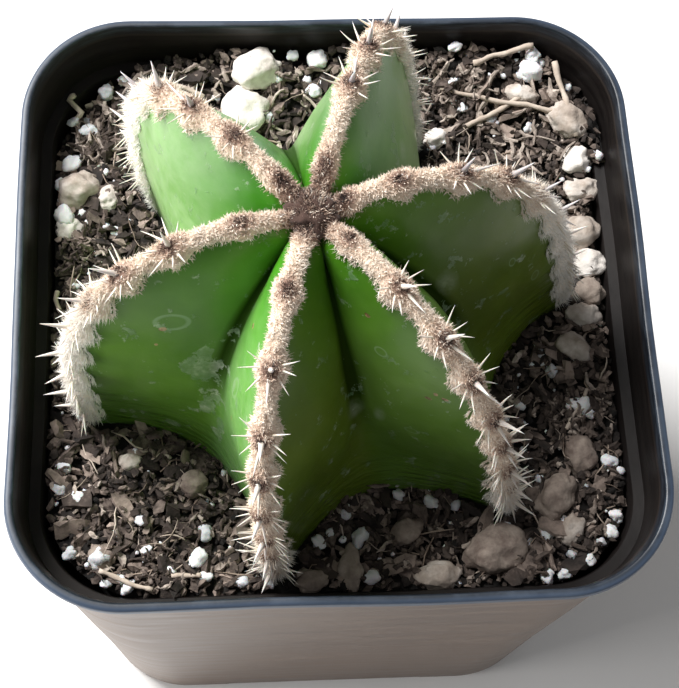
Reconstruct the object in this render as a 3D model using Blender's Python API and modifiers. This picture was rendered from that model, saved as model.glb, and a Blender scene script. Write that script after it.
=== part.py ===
"""Potted mexican fence post cactus.

A square nursery pot, the potting mix that fills it, the six-ribbed green stem and the band of
woolly areoles with spines that runs along each rib. Metres, +Z up. The origin is the middle of
the pot's underside, and the pot's front wall faces -Y.
"""
import math
import random
from itertools import combinations

import bmesh
import bpy
import numpy as np
from mathutils import Matrix, Vector, noise

MM = 0.001
COLLECTION_NAME = "PottedFencePostCactus"
CUTTER_COLLECTION_NAME = "Cutters"
STEM_CLEARANCE = 0.375 * MM
FINE_WELD = 0.0002 * MM
COARSE_WELD = 0.03 * MM
NOISE_SEED = 3
SPINE_SEED = 11
GRAIN_SEED = 5

# Pot
POT_SIDE = 88.9 * MM
POT_HEIGHT = 88.9 * MM
POT_CORNER_RADIUS = 15.8 * MM
POT_BASE_SIDE = 80.0 * MM
POT_BASE_CORNER_RADIUS = 15.6 * MM
POT_WALL = 1.0 * MM
LIP_OVERHANG = 0.5 * MM
LIP_WIDTH = 1.25 * MM
LIP_HEIGHT = 1.6 * MM
LIP_ROUND = 0.4 * MM
BASE_EDGE_ROUND = 0.9 * MM
LEDGE_DEPTH = 9.0 * MM
LEDGE_OUTER_STEP = 0.35 * MM
LEDGE_INNER_STEP = 1.4 * MM
LEDGE_RISE = 0.4 * MM
FLOOR_TOP = 3.2 * MM
CORNER_STEPS = 7
CHANNEL_WIDTH = 36.0 * MM
CHANNEL_HEIGHT = 1.5 * MM
CHANNEL_BEVEL = 1.2 * MM
DRAIN_DIAMETER = 7.0 * MM
DRAIN_OFFSET = 27.0 * MM
DRAIN_SIDES = 20

# Stem: the profiles are (distance from the axis, height above the soil) in millimetres
SOIL_LEVEL = 78.2 * MM
STEM_FOOT = (0.8 * MM, -5.2 * MM)
STEM_LEAN = (-0.117, 0.059)
RIB_ANGLES = (12.3, 69.4, 137.3, 194.8, 253.5, 313.1)
RIB_REACH = (0.97, 1.01, 1.01, 1.04, 0.97, 0.945)
RIB_RISE = (0.7 * MM, 4.2 * MM, 2.4 * MM, -2.2 * MM, -2.5 * MM, -1.8 * MM)
RIB_RISE_RADIUS = 26.7 * MM
RIB_RISE_HEIGHT = 35.6 * MM
VALLEY_ANGLES = (41.0, 103.0, 166.0, 220.0, 281.0, 344.0)
VALLEY_REACH = (1.0, 1.22, 1.05, 1.05, 0.9, 0.98)
CREST_PROFILE = ((0, 38.9), (6.2, 41.7), (12.3, 42.4), (18.2, 41.1), (23.8, 38.4), (28.2, 33.8),
                 (31.5, 27.2), (33.5, 19.3), (34.5, 10.8), (34.9, 2.1), (34.2, -9.0))
VALLEY_PROFILE = ((0, 38.9), (3.2, 37.0), (7.9, 33.4), (12.7, 27.6), (16.5, 20.4), (18.6, 13.0),
                  (20.2, 6.4), (22.3, 0), (21.8, -9.0))
PROFILE_STEPS = 10
CREST_HALF_WIDTH = 0.75 * MM
CREST_ROUNDING = 0.35 * MM
FLANK_SPREAD = 0.55
CREST_TAPER_RADIUS = 5.0 * MM
FLANK_BULGE = 0.9 * MM
FOOT_HOLLOW = -1.9 * MM
FLANK_HOLLOW_SPAN = (0.45, 0.9)
FLANK_STEPS = 3
STEM_FIRST_ROW = 0.035
STEM_ROWS = 23

# Woolly band and spines
WOOL_HALF_WIDTH = 1.5 * MM
WOOL_AREOLE_SWELL = 0.8 * MM
WOOL_HEIGHT = 1.1 * MM
WOOL_AREOLE_RISE = 0.5 * MM
WOOL_SKIRT = 0.35 * MM
WOOL_AREOLE_SKIRT = 0.75 * MM
WOOL_SKIN_GAP = 0.62 * MM
WOOL_ROUGHNESS = 0.12 * MM
WOOL_ROUGHNESS_SCALE = 1.3 * MM
WOOL_SHOULDER = (0.72, 0.62)
WOOL_UNDERSIDE = 0.56 * MM
WOOL_SOIL_CLEARANCE = 1.7 * MM
WOOL_START = 3.4 * MM
APEX_PAD_RADIUS = 4.2 * MM
APEX_PAD_HEIGHT = 2.1 * MM
APEX_PAD_RISE = 1.2 * MM
# The bowl that keeps the wool off the tip: distances from the axis, and its height over the crests
TIP_BOWL_RADII = (5.4 * MM, 3.6 * MM, 2.0 * MM, 0.7 * MM)
TIP_BOWL_GAP = 0.5 * MM
TIP_BOWL_DEPTH = 5.0 * MM
# Areoles: distances down each crest from the tip, in millimetres
AREOLES = ((5.0, 12.0, 20.0, 27.0, 34.0, 40.5, 47.0, 53.5, 59.5),
           (6.0, 16.2, 22.8, 29.5, 36.0, 42.5, 49.0, 55.5, 61.0),
           (5.5, 12.7, 19.5, 25.8, 32.0, 38.5, 45.0, 51.5, 57.5),
           (9.2, 17.6, 24.6, 30.7, 37.0, 43.5, 50.0, 56.0, 61.0),
           (3.6, 12.3, 21.7, 30.1, 36.7, 44.0, 50.5, 56.5, 61.5),
           (7.5, 16.0, 23.9, 30.5, 37.7, 44.0, 50.5, 56.5, 61.5))
AREOLE_REACH = 3.0 * MM
AREOLE_HALF_LENGTH = 0.7 * MM
SPINE_SIDES = 3
SPINE_ROOT = 0.5 * MM
RADIAL_SPINE_LENGTH = (2.6 * MM, 3.8 * MM)
RADIAL_SPINE_RADIUS = 0.2 * MM
CENTRAL_SPINE_LENGTH = (3.4 * MM, 5.0 * MM)
CENTRAL_SPINE_RADIUS = 0.42 * MM
SPINE_SOIL_CLEARANCE = 2.2 * MM
SPINE_STONE_CLEARANCE = 0.5 * MM
SPINE_START = 6.0 * MM
SPINE_FULL = 18.0 * MM
SPINE_LEAST = 0.53

# Potting mix
SOIL_GRID_CELLS = 28
SOIL_GRID_SIDE = 92.0 * MM
SOIL_BLOCK_DEPTH = 78.0 * MM
SOIL_COARSE_SCALE = 9.0 * MM
SOIL_COARSE_HEIGHT = 1.0 * MM
SOIL_FINE_SCALE = 2.6 * MM
SOIL_FINE_HEIGHT = 0.8 * MM
SOIL_WALL_GAP = 0.35 * MM
# Heaps and hollows of the surface: x, y, rise and radius, in millimetres
SOIL_HEAPS = ((-8, 41, 4.5, 13), (14, -31, -2.6, 9), (40, 6, 1.5, 8), (-30, -30, 0.8, 14),
              (28, -38, 1.2, 10), (19, 45, 5.8, 9.5), (31, 43, 4.2, 9.5), (-24, 44, 2.5, 9),
              (42, 31, 3.6, 8), (-11, 46, 2.5, 5), (5, 47, 5.5, 7.5), (46, 6, -2.6, 7))
# Larger stones on the surface: x, y, length, width in millimetres and turn in degrees
STONES = ((-9.8, 38.6, 7.8, 5.8, 25), (-11.9, 32.8, 7.6, 6.3, -10), (37.0, 30.5, 6.8, 5.0, -50),
          (38.2, 24.2, 4.6, 4.4, 0), (38.6, 19.6, 5.4, 3.7, 10), (37.6, 12.4, 6.5, 5.9, 70),
          (38.4, 7.4, 5.4, 4.2, 0), (38.0, 2.9, 5.4, 4.2, 5), (36.9, -0.9, 5.5, 3.6, 0),
          (34.9, -5.9, 5.6, 4.1, -20), (21.1, -35.6, 9.1, 6.5, 20), (13.3, -38.6, 6.3, 4.2, 0),
          (9.3, -32.0, 4.9, 3.7, 30), (30.2, -28.3, 7.2, 4.8, 55), (32.0, -33.0, 5.0, 3.0, 60),
          (34.6, -21.8, 6.2, 4.7, 80), (1.2, -37.6, 6.4, 3.4, 85), (-4.2, -39.2, 4.5, 3.0, 10),
          (-20.2, -25.2, 4.4, 3.6, 15), (-28.9, -21.6, 3.2, 2.8, 0), (-37.0, 21.0, 6.5, 5.6, 30),
          (-32.4, 19.6, 3.9, 3.3, 80), (-38.4, 15.0, 4.2, 3.3, 10), (30.6, 35.1, 5.2, 3.0, -20),
          (17.3, 29.4, 4.3, 3.1, 15), (-32.7, -35.0, 4.2, 3.4, 60))
STONE_HEIGHT_SHARE = 0.8
STONE_SINK_SHARE = 0.32
STONE_ROUGHNESS = 0.16
STONE_TILT = 0.15
FINE_STONE_LENGTH = 5.4
PERLITE_COUNT = 30
PERLITE_SIZE = (1.6 * MM, 3.2 * MM)
PERLITE_ROUGHNESS = 0.2
PERLITE_SPACING = 1.5 * MM
CHIP_COUNT = 28
CHIP_LENGTH = (3.0 * MM, 6.5 * MM)
CHIP_WIDTH = (1.0 * MM, 1.8 * MM)
CHIP_THICKNESS = 1.1 * MM
CHIP_SPACING = 1.7 * MM
CHIP_RISE = 0.25 * MM
LOOSE_REACH = 40.5 * MM
LOOSE_CORNER_START = 28.0 * MM
LOOSE_CORNER_RADIUS = 12.0 * MM
STEM_FREE_RADIUS = (11.0 * MM, 4.0 * MM)

# Colours: linear red, green and blue, then roughness
POT_FINISH = ((0.20, 0.155, 0.125), 0.42)
MIX_FINISH = ((0.055, 0.038, 0.028), 0.92)
STEM_FINISH = ((0.065, 0.17, 0.03), 0.38)
WOOL_FINISH = ((0.56, 0.45, 0.34), 0.9)


def clear_scene():
    """Remove every object and every empty collection of the scene."""
    for old in list(bpy.data.objects):
        bpy.data.objects.remove(old, do_unlink=True)
    for old in list(bpy.data.collections):
        bpy.data.collections.remove(old)


def new_collection(name):
    """Make a collection and link it to the scene."""
    collection = bpy.data.collections.new(name)
    bpy.context.scene.collection.children.link(collection)
    return collection


def new_material(name, finish):
    """Make a Principled material from a colour and a roughness."""
    colour, roughness = finish
    material = bpy.data.materials.new(name)
    material.use_nodes = True
    shader = material.node_tree.nodes["Principled BSDF"]
    shader.inputs["Base Color"].default_value = (*colour, 1.0)
    shader.inputs["Roughness"].default_value = roughness
    shader.inputs["Metallic"].default_value = 0.0
    material.diffuse_color = (*colour, 1.0)
    return material


def add_object(name, bm, collection, material=None):
    """Turn a bmesh into an object of the collection, with its faces pointing out."""
    bmesh.ops.recalc_face_normals(bm, faces=bm.faces[:])
    mesh = bpy.data.meshes.new(name)
    bm.to_mesh(mesh)
    bm.free()
    piece = bpy.data.objects.new(name, mesh)
    collection.objects.link(piece)
    if material:
        mesh.materials.append(material)
    return piece


def hide_cutter(cutter):
    """Mark an object as a cutter that isn't part of the model."""
    cutter.hide_render = True
    cutter.display_type = 'WIRE'


def loft(sections):
    """Skin a closed solid over sections with equal point counts, and cap both ends."""
    bm = bmesh.new()
    rings = [[bm.verts.new(point) for point in section] for section in sections]
    count = len(rings[0])
    for lower, upper in zip(rings, rings[1:]):
        for i in range(count):
            j = (i + 1) % count
            bm.faces.new((lower[i], lower[j], upper[j], upper[i]))
    bm.faces.new(rings[0])
    bm.faces.new(rings[-1])
    return bm


def boolean(target, operation, solver='EXACT', cutter=None, collection=None):
    """Add a Boolean modifier that works with one object or with a collection."""
    modifier = target.modifiers.new(operation.title(), 'BOOLEAN')
    modifier.operation = operation
    modifier.solver = solver
    if collection:
        modifier.operand_type = 'COLLECTION'
        modifier.collection = collection
    else:
        modifier.object = cutter
    return modifier


def apply_modifiers(piece):
    """Replace the object's mesh by its evaluated mesh."""
    bpy.context.view_layer.update()
    evaluated = piece.evaluated_get(bpy.context.evaluated_depsgraph_get())
    mesh = bpy.data.meshes.new_from_object(evaluated)
    piece.modifiers.clear()
    piece.data = mesh
    mesh.name = piece.name


def remove_collection(collection):
    """Remove a collection together with its objects."""
    for piece in list(collection.objects):
        bpy.data.objects.remove(piece, do_unlink=True)
    bpy.data.collections.remove(collection)


def islands(bm):
    """List the separate bodies of a bmesh as sets of faces; a shared corner doesn't join two."""
    left = set(bm.faces)
    found = []
    while left:
        stack = [left.pop()]
        body = set(stack)
        while stack:
            for edge in stack.pop().edges:
                reached = left.intersection(edge.link_faces)
                left -= reached
                body |= reached
                stack.extend(reached)
        found.append(body)
    return found


def drop_scraps(bm):
    """Drop every body but the largest: loose scraps, and sealed hollows, which this fills."""
    bodies = sorted(islands(bm), key=len)
    scraps = [face for body in bodies[:-1] for face in body]
    bmesh.ops.delete(bm, geom=scraps, context='FACES')


def turn_diagonal(bm, edge, source):
    """Split the face that was cut along this edge across its other diagonal instead."""
    pairs = [pair for pair in combinations(edge.link_faces, 2) if pair[0][source] == pair[1][source]]
    if not pairs:
        return
    first, second = pairs[0]
    loop = next(loop for loop in first.loops if loop.edge == edge)
    start, end, peak = loop.vert, loop.link_loop_next.vert, loop.link_loop_prev.vert
    far = next(vertex for vertex in second.verts if vertex not in edge.verts)
    bmesh.ops.delete(bm, geom=[first, second], context='FACES_ONLY')
    bm.faces.new((peak, start, far))
    bm.faces.new((far, end, peak))


def split_into_triangles(bm):
    """Split the faces into triangles, with no diagonal along an edge that other faces have."""
    source = bm.faces.layers.int.new("source")
    for number, face in enumerate(bm.faces):
        face[source] = number
    bmesh.ops.triangulate(bm, faces=bm.faces[:])
    for edge in [edge for edge in bm.edges if len(edge.link_faces) > 2]:
        turn_diagonal(bm, edge, source)
    bm.faces.layers.int.remove(source)


def keep_main_body(piece, weld=FINE_WELD):
    """Leave one closed body of triangles, with its nearest points welded together."""
    bm = bmesh.new()
    bm.from_mesh(piece.data)
    drop_scraps(bm)
    bmesh.ops.remove_doubles(bm, verts=bm.verts[:], dist=weld)
    drop_scraps(bm)
    split_into_triangles(bm)
    bm.to_mesh(piece.data)
    bm.free()


# Pot

def rounded_square(half, radius, z):
    """Points of a square with round corners, counterclockwise, at the height z."""
    points = []
    for quarter in range(4):
        centre_x = (half - radius) * (1 if quarter in (0, 3) else -1)
        centre_y = (half - radius) * (1 if quarter in (0, 1) else -1)
        for step in range(CORNER_STEPS + 1):
            angle = (quarter + step / CORNER_STEPS) * math.pi / 2
            x = centre_x + radius * math.cos(angle)
            y = centre_y + radius * math.sin(angle)
            points.append(Vector((x, y, z)))
    return points


def wall_half(z):
    """Half the outer width of the tapered wall at the height z, without the step."""
    top = POT_SIDE / 2 - LIP_OVERHANG
    return POT_BASE_SIDE / 2 + (top - POT_BASE_SIDE / 2) * z / POT_HEIGHT


def corner_radius(z, inset):
    """Radius of the wall's corners at the height z, for a face that lies inset from the outside."""
    share = z / POT_HEIGHT
    return POT_BASE_CORNER_RADIUS * (1 - share) + POT_CORNER_RADIUS * share - inset


def wall_ring(z, inset):
    """A ring of the wall at the height z, inset from its outer face."""
    return rounded_square(wall_half(z) - inset, corner_radius(z, inset), z)


def inner_inset(z):
    """Thickness of the wall at the height z, above or below the ledge."""
    above = z > POT_HEIGHT - LEDGE_DEPTH
    return POT_WALL if above else POT_WALL + LEDGE_OUTER_STEP + LEDGE_INNER_STEP


def lip_ring(z, inset):
    """A ring of the lip at the height z, inset from its outer face."""
    return rounded_square(POT_SIDE / 2 - inset, POT_CORNER_RADIUS - inset, z)


def pot_sections():
    """Rings from the underside, up the outside, over the lip and down to the floor."""
    step_z = POT_HEIGHT - LEDGE_DEPTH
    lip_z = POT_HEIGHT - LIP_HEIGHT
    outside = [wall_ring(0, BASE_EDGE_ROUND),
               wall_ring(BASE_EDGE_ROUND * 0.3, BASE_EDGE_ROUND * 0.3),
               wall_ring(BASE_EDGE_ROUND, 0),
               wall_ring(step_z - LEDGE_RISE, LEDGE_OUTER_STEP),
               wall_ring(step_z, 0),
               wall_ring(lip_z, 0)]
    lip = [lip_ring(lip_z + LIP_ROUND * 0.1, LIP_ROUND * 0.3),
           lip_ring(lip_z + LIP_ROUND * 0.6, 0),
           lip_ring(POT_HEIGHT - LIP_ROUND, 0),
           lip_ring(POT_HEIGHT, LIP_ROUND),
           lip_ring(POT_HEIGHT, LIP_WIDTH)]
    inside = [wall_ring(POT_HEIGHT - LIP_ROUND, POT_WALL),
              wall_ring(step_z + LEDGE_RISE, POT_WALL),
              wall_ring(step_z, inner_inset(step_z - LEDGE_RISE)),
              wall_ring(FLOOR_TOP + BASE_EDGE_ROUND, inner_inset(0)),
              wall_ring(FLOOR_TOP, inner_inset(0) + BASE_EDGE_ROUND)]
    return outside + lip + inside


def channel_cutter(cutters, name, turn):
    """A bar that cuts a drainage channel across the underside, with bevelled sides."""
    bm = bmesh.new()
    bmesh.ops.create_cube(bm, size=1.0)
    bmesh.ops.scale(bm, vec=(POT_SIDE * 1.2, CHANNEL_WIDTH, 2 * CHANNEL_HEIGHT), verts=bm.verts[:])
    bmesh.ops.rotate(bm, matrix=Matrix.Rotation(turn, 3, 'Z'), verts=bm.verts[:])
    cutter = add_object(name, bm, cutters)
    bevel = cutter.modifiers.new("Sides", 'BEVEL')
    bevel.width = CHANNEL_BEVEL
    bevel.segments = 2
    hide_cutter(cutter)
    return cutter


def drain_cutters(cutters):
    """Cylinders for the drain holes: one in the middle and one towards each side."""
    places = [(0, 0), (DRAIN_OFFSET, 0), (0, DRAIN_OFFSET), (-DRAIN_OFFSET, 0), (0, -DRAIN_OFFSET)]
    made = []
    for number, (x, y) in enumerate(places):
        bm = bmesh.new()
        bmesh.ops.create_cone(bm, cap_ends=True, segments=DRAIN_SIDES, radius1=DRAIN_DIAMETER / 2,
                              radius2=DRAIN_DIAMETER / 2, depth=4 * FLOOR_TOP)
        bmesh.ops.translate(bm, vec=(x, y, 0), verts=bm.verts[:])
        cutter = add_object(f"drain_{number}", bm, cutters)
        hide_cutter(cutter)
        made.append(cutter)
    return made


def make_pot(parts, cutters):
    """The moulded pot: shell, lip, ledge, drainage channels and drain holes."""
    pot = add_object("pot", loft(pot_sections()), parts, new_material("moulded_plastic", POT_FINISH))
    channels = [channel_cutter(cutters, "channel_x", 0), channel_cutter(cutters, "channel_y", math.pi / 2)]
    for cutter in channels + drain_cutters(cutters):
        boolean(pot, 'DIFFERENCE', cutter=cutter)
    apply_modifiers(pot)
    keep_main_body(pot)
    pot.data.shade_smooth()
    pot.data.set_sharp_from_angle(angle=math.radians(28))
    return pot


# Stem

def dense_profile(points):
    """A smooth curve through the points: its running length, distances and heights in metres."""
    knots = np.array(points, dtype=float) * MM
    padded = np.vstack((2 * knots[0] - knots[1], knots, 2 * knots[-1] - knots[-2]))
    samples = []
    for a, b, c, d in zip(padded, padded[1:], padded[2:], padded[3:]):
        for t in np.arange(PROFILE_STEPS) / PROFILE_STEPS:
            samples.append(0.5 * (2 * b + (c - a) * t + (2 * a - 5 * b + 4 * c - d) * t ** 2
                                  + (3 * b - a - 3 * c + d) * t ** 3))
    samples.append(knots[-1])
    samples = np.array(samples)
    length = np.concatenate(([0], np.cumsum(np.hypot(*np.diff(samples, axis=0).T))))
    return length, samples[:, 0], samples[:, 1]


CREST = dense_profile(CREST_PROFILE)
VALLEY = dense_profile(VALLEY_PROFILE)
CREST_LENGTH = CREST[0][-1]


def on_profile(profile, share):
    """Distance from the axis and height at a share of the profile's length."""
    length, distances, heights = profile
    at = share * length[-1]
    return float(np.interp(at, length, distances)), float(np.interp(at, length, heights))


def on_axis(height, distance, angle):
    """The point at a distance from the leaning axis, at a height above the soil."""
    turn = math.radians(angle)
    x = STEM_FOOT[0] + STEM_LEAN[0] * height + distance * math.cos(turn)
    y = STEM_FOOT[1] + STEM_LEAN[1] * height + distance * math.sin(turn)
    return Vector((x, y, SOIL_LEVEL + height))


def crest_point(rib, share):
    """The point on the rib's crest at a share of its length from the tip."""
    distance, height = on_profile(CREST, share)
    lift = min(distance / RIB_RISE_RADIUS, 1.0) * min(max(height, 0.0) / RIB_RISE_HEIGHT, 1.0)
    return on_axis(height + RIB_RISE[rib] * lift, distance * RIB_REACH[rib], RIB_ANGLES[rib])


def crest_frame(rib, share):
    """The crest's point, with unit vectors outward, down along the crest and across it."""
    step = 0.01
    ahead = crest_point(rib, min(share + step, 1.0))
    behind = crest_point(rib, max(share - step, 0.0))
    along = (ahead - behind).normalized()
    turn = math.radians(RIB_ANGLES[rib])
    across = Vector((-math.sin(turn), math.cos(turn), 0))
    outward = along.cross(across).normalized()
    return crest_point(rib, share), outward, along, across


def valley_point(valley, share):
    """The point in the valley that follows the rib of the same number."""
    distance, height = on_profile(VALLEY, share)
    return on_axis(height, distance * VALLEY_REACH[valley], VALLEY_ANGLES[valley])


def flank_bulge(share):
    """How far a flank stands out from a plane: out at the top, in at the foot."""
    start, end = FLANK_HOLLOW_SPAN
    blend = min(max((share - start) / (end - start), 0.0), 1.0)
    blend = blend * blend * (3 - 2 * blend)
    return FLANK_BULGE * (1 - blend) + FOOT_HOLLOW * blend


def flank_points(rib, side, share):
    """Points from the crest's shoulder to the valley on one side of a rib, valley left out."""
    crest, outward, along, across = crest_frame(rib, share)
    taper = min(on_profile(CREST, share)[0] / CREST_TAPER_RADIUS, 1.0)
    shoulder = crest + side * across * CREST_HALF_WIDTH * taper - outward * CREST_ROUNDING * taper
    valley = valley_point(rib if side > 0 else (rib - 1) % len(RIB_ANGLES), share)
    points = []
    for step in range(FLANK_STEPS):
        part = step / FLANK_STEPS
        swell = flank_bulge(share) * taper * math.sin(math.pi * part)
        points.append(shoulder.lerp(valley, part) + side * across * swell)
    return points


def stem_section(share):
    """The star of points round the stem at a share of the way from the tip to the foot."""
    points = []
    for rib in range(len(RIB_ANGLES)):
        points += reversed(flank_points(rib, -1, share))
        points.append(crest_point(rib, share))
        points += flank_points(rib, 1, share)
        points.append(valley_point(rib, share))
    return points


def stem_mesh():
    """The stem's closed surface: a loft from a ring at the tip down to its buried foot."""
    shares = [STEM_FIRST_ROW + (1 - STEM_FIRST_ROW) * row / (STEM_ROWS - 1) for row in range(STEM_ROWS)]
    bm = bmesh.new()
    tip = bm.verts.new(on_axis(CREST[2][0], 0, 0))
    rings = [[bm.verts.new(point) for point in stem_section(share)] for share in shares]
    count = len(rings[0])
    for i in range(count):
        bm.faces.new((tip, rings[0][i], rings[0][(i + 1) % count]))
    for upper, lower in zip(rings, rings[1:]):
        for i in range(count):
            j = (i + 1) % count
            bm.faces.new((upper[i], lower[i], lower[j], upper[j]))
    bm.faces.new(rings[-1])
    return bm


def make_stem(parts):
    """The green six-ribbed body."""
    stem = add_object("cactus_stem", stem_mesh(), parts, new_material("green_skin", STEM_FINISH))
    triangulate(stem)
    stem.data.shade_smooth()
    stem.data.set_sharp_from_angle(angle=math.radians(40))
    return stem


def triangulate(piece):
    """Split the object's faces into triangles."""
    bm = bmesh.new()
    bm.from_mesh(piece.data)
    bmesh.ops.triangulate(bm, faces=bm.faces[:])
    bm.to_mesh(piece.data)
    bm.free()


def make_stem_clearance(stem, cutters):
    """The stem grown by the gap: it cuts the mix and the wool clear of the skin."""
    bm = bmesh.new()
    bm.from_mesh(stem.data)
    bm.normal_update()
    moves = [vertex.normal * STEM_CLEARANCE * min(vertex.calc_shell_factor(), 2.0) for vertex in bm.verts]
    for vertex, move in zip(bm.verts, moves):
        vertex.co += move
    grown = add_object("stem_clearance", bm, cutters)
    hide_cutter(grown)
    return grown


def tip_ring(radius):
    """A ring over the crests round the tip: a point above each rib and one between each two."""
    share = float(np.interp(radius, CREST[1], CREST[0])) / CREST_LENGTH
    over = [crest_point(rib, share).z + TIP_BOWL_GAP for rib in range(len(RIB_ANGLES))]
    points = []
    for rib, angle in enumerate(RIB_ANGLES):
        following = (rib + 1) % len(RIB_ANGLES)
        onward = (RIB_ANGLES[following] - angle) % 360
        between = (over[rib] + over[following]) / 2
        points.append(on_axis(over[rib] - SOIL_LEVEL, radius, angle))
        points.append(on_axis(between - SOIL_LEVEL, radius, angle + onward / 2))
    return points


def make_tip_clearance(cutters):
    """A bowl round the tip, where the ribs stand too close for the wool to follow their sides."""
    rings = [tip_ring(radius) for radius in TIP_BOWL_RADII]
    foot = [point - Vector((0, 0, TIP_BOWL_DEPTH)) for point in rings[0]]
    bowl = add_object("tip_clearance", loft([foot] + rings), cutters)
    hide_cutter(bowl)
    return bowl


# Woolly bands and spines

def share_at_height(height):
    """Share of the crest's length at which it passes the height on its way down."""
    length, _, heights = CREST
    below = np.nonzero(heights > height)[0][-1]
    return float(length[below] / length[-1])


def swelling(rib, share):
    """How much the band swells at a place: 1 on an areole, 0 well away from one."""
    at = share * CREST_LENGTH
    nearest = min(abs(at - place * MM) for place in AREOLES[rib])
    return 0.5 + 0.5 * math.cos(math.pi * min(nearest / AREOLE_REACH, 1.0))


def band_section(rib, share):
    """The arched section of the woolly band at a share of the crest, clear of the skin."""
    crest, outward, _, across = crest_frame(rib, share)
    swell = swelling(rib, share)
    half = WOOL_HALF_WIDTH + WOOL_AREOLE_SWELL * swell
    height = WOOL_HEIGHT + WOOL_AREOLE_RISE * swell
    skirt = -WOOL_SKIRT - WOOL_AREOLE_SKIRT * swell
    inner = CREST_HALF_WIDTH + WOOL_SKIN_GAP + FLANK_SPREAD * (-skirt - CREST_ROUNDING)
    wide, high = half * WOOL_SHOULDER[0], height * WOOL_SHOULDER[1]
    arch = ((half, skirt), (wide, high), (0, height), (-wide, high), (-half, skirt))
    underside = ((-inner, skirt), (-WOOL_UNDERSIDE, WOOL_SKIN_GAP), (WOOL_UNDERSIDE, WOOL_SKIN_GAP),
                 (inner, skirt))
    points = []
    for sideways, up in arch:
        point = crest + across * sideways + outward * up
        points.append(point + noise.noise_vector(point / WOOL_ROUGHNESS_SCALE) * WOOL_ROUGHNESS)
    for sideways, up in underside:
        points.append(crest + across * sideways + outward * up)
    return points


def add_band(rib, collection):
    """The woolly band along one rib, with a row on each areole and one between each two."""
    areoles = [place * MM / CREST_LENGTH for place in AREOLES[rib] if place * MM > WOOL_START]
    between = [(upper + lower) / 2 for upper, lower in zip(areoles, areoles[1:])]
    ends = [WOOL_START / CREST_LENGTH, share_at_height(WOOL_SOIL_CLEARANCE)]
    shares = sorted(areoles + between + ends)
    sections = [band_section(rib, share) for share in shares]
    return add_object(f"band_{rib}", loft(sections), collection)


def add_spine(collection, root, direction, length, radius):
    """One needle: a three-sided cone whose root is sunk in the wool."""
    bm = bmesh.new()
    bmesh.ops.create_cone(bm, cap_ends=True, segments=SPINE_SIDES, radius1=radius, radius2=0,
                          depth=length + SPINE_ROOT)
    turn = direction.to_track_quat('Z', 'Y').to_matrix().to_4x4()
    centre = root + direction * (length - SPINE_ROOT) / 2
    bmesh.ops.transform(bm, matrix=Matrix.Translation(centre) @ turn, verts=bm.verts[:])
    return add_object("spine", bm, collection)


def clear_of_mix(point):
    """Whether a point stays above the soil and off the larger stones."""
    if point.z < max(SOIL_LEVEL, soil_height(point.x, point.y)) + SPINE_SOIL_CLEARANCE:
        return False
    for x, y, long, wide, _ in STONES:
        reach = long * MM / 2 + SPINE_STONE_CLEARANCE
        top = soil_height(x * MM, y * MM) + wide * MM * STONE_HEIGHT_SHARE
        near = math.hypot(point.x - x * MM, point.y - y * MM) < reach
        if near and point.z < top + SPINE_STONE_CLEARANCE:
            return False
    return True


def add_areole_spines(rib, share, grown, draw, collection):
    """Radial spines to both sides, one stout spine outward and one down along the crest."""
    crest, outward, along, across = crest_frame(rib, share)
    root = crest + outward * WOOL_HEIGHT
    for side in (-1, 1):
        for lean in (-0.55, 0.5):
            offset = across * side * WOOL_HALF_WIDTH * 0.8 + along * math.copysign(AREOLE_HALF_LENGTH, lean)
            direction = (across * side + along * (lean + draw.uniform(-0.15, 0.15))
                         + outward * draw.uniform(0.12, 0.4)).normalized()
            length = draw.uniform(*RADIAL_SPINE_LENGTH) * grown
            if clear_of_mix(root + offset + direction * length):
                add_spine(collection, root + offset, direction, length, RADIAL_SPINE_RADIUS)
    for rise, slope in ((1.0, draw.uniform(-0.3, 0.3)), (0.3, 1.0)):
        direction = (outward * rise + along * slope + across * draw.uniform(-0.25, 0.25)).normalized()
        length = draw.uniform(*CENTRAL_SPINE_LENGTH) * grown
        if clear_of_mix(root + direction * length):
            add_spine(collection, root, direction, length, CENTRAL_SPINE_RADIUS)


def make_wool(parts, clearance, tip_clearance):
    """Six woolly bands that meet in a pad at the tip, with their spines, fused into one body."""
    draw = random.Random(SPINE_SEED)
    repeats = new_collection("WoolRepeats")
    for rib, places in enumerate(AREOLES):
        add_band(rib, repeats)
        for place in places:
            grown = min((place * MM - SPINE_START) / (SPINE_FULL - SPINE_START), 1.0)
            if grown > SPINE_LEAST:
                add_areole_spines(rib, place * MM / CREST_LENGTH, grown, draw, repeats)
    bm = bmesh.new()
    bmesh.ops.create_icosphere(bm, subdivisions=2, radius=1.0)
    centre = on_axis(CREST[2][0] + APEX_PAD_RISE, 0, 0)
    size = Matrix.Diagonal((APEX_PAD_RADIUS, APEX_PAD_RADIUS, APEX_PAD_HEIGHT, 1.0))
    bmesh.ops.transform(bm, matrix=Matrix.Translation(centre) @ size, verts=bm.verts[:])
    wool = add_object("areole_wool", bm, parts, new_material("felted_wool", WOOL_FINISH))
    boolean(wool, 'UNION', 'MANIFOLD', collection=repeats)
    apply_modifiers(wool)
    remove_collection(repeats)
    boolean(wool, 'DIFFERENCE', 'MANIFOLD', cutter=tip_clearance)
    boolean(wool, 'DIFFERENCE', 'MANIFOLD', cutter=clearance)
    apply_modifiers(wool)
    keep_main_body(wool)
    return wool


# Potting mix

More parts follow.
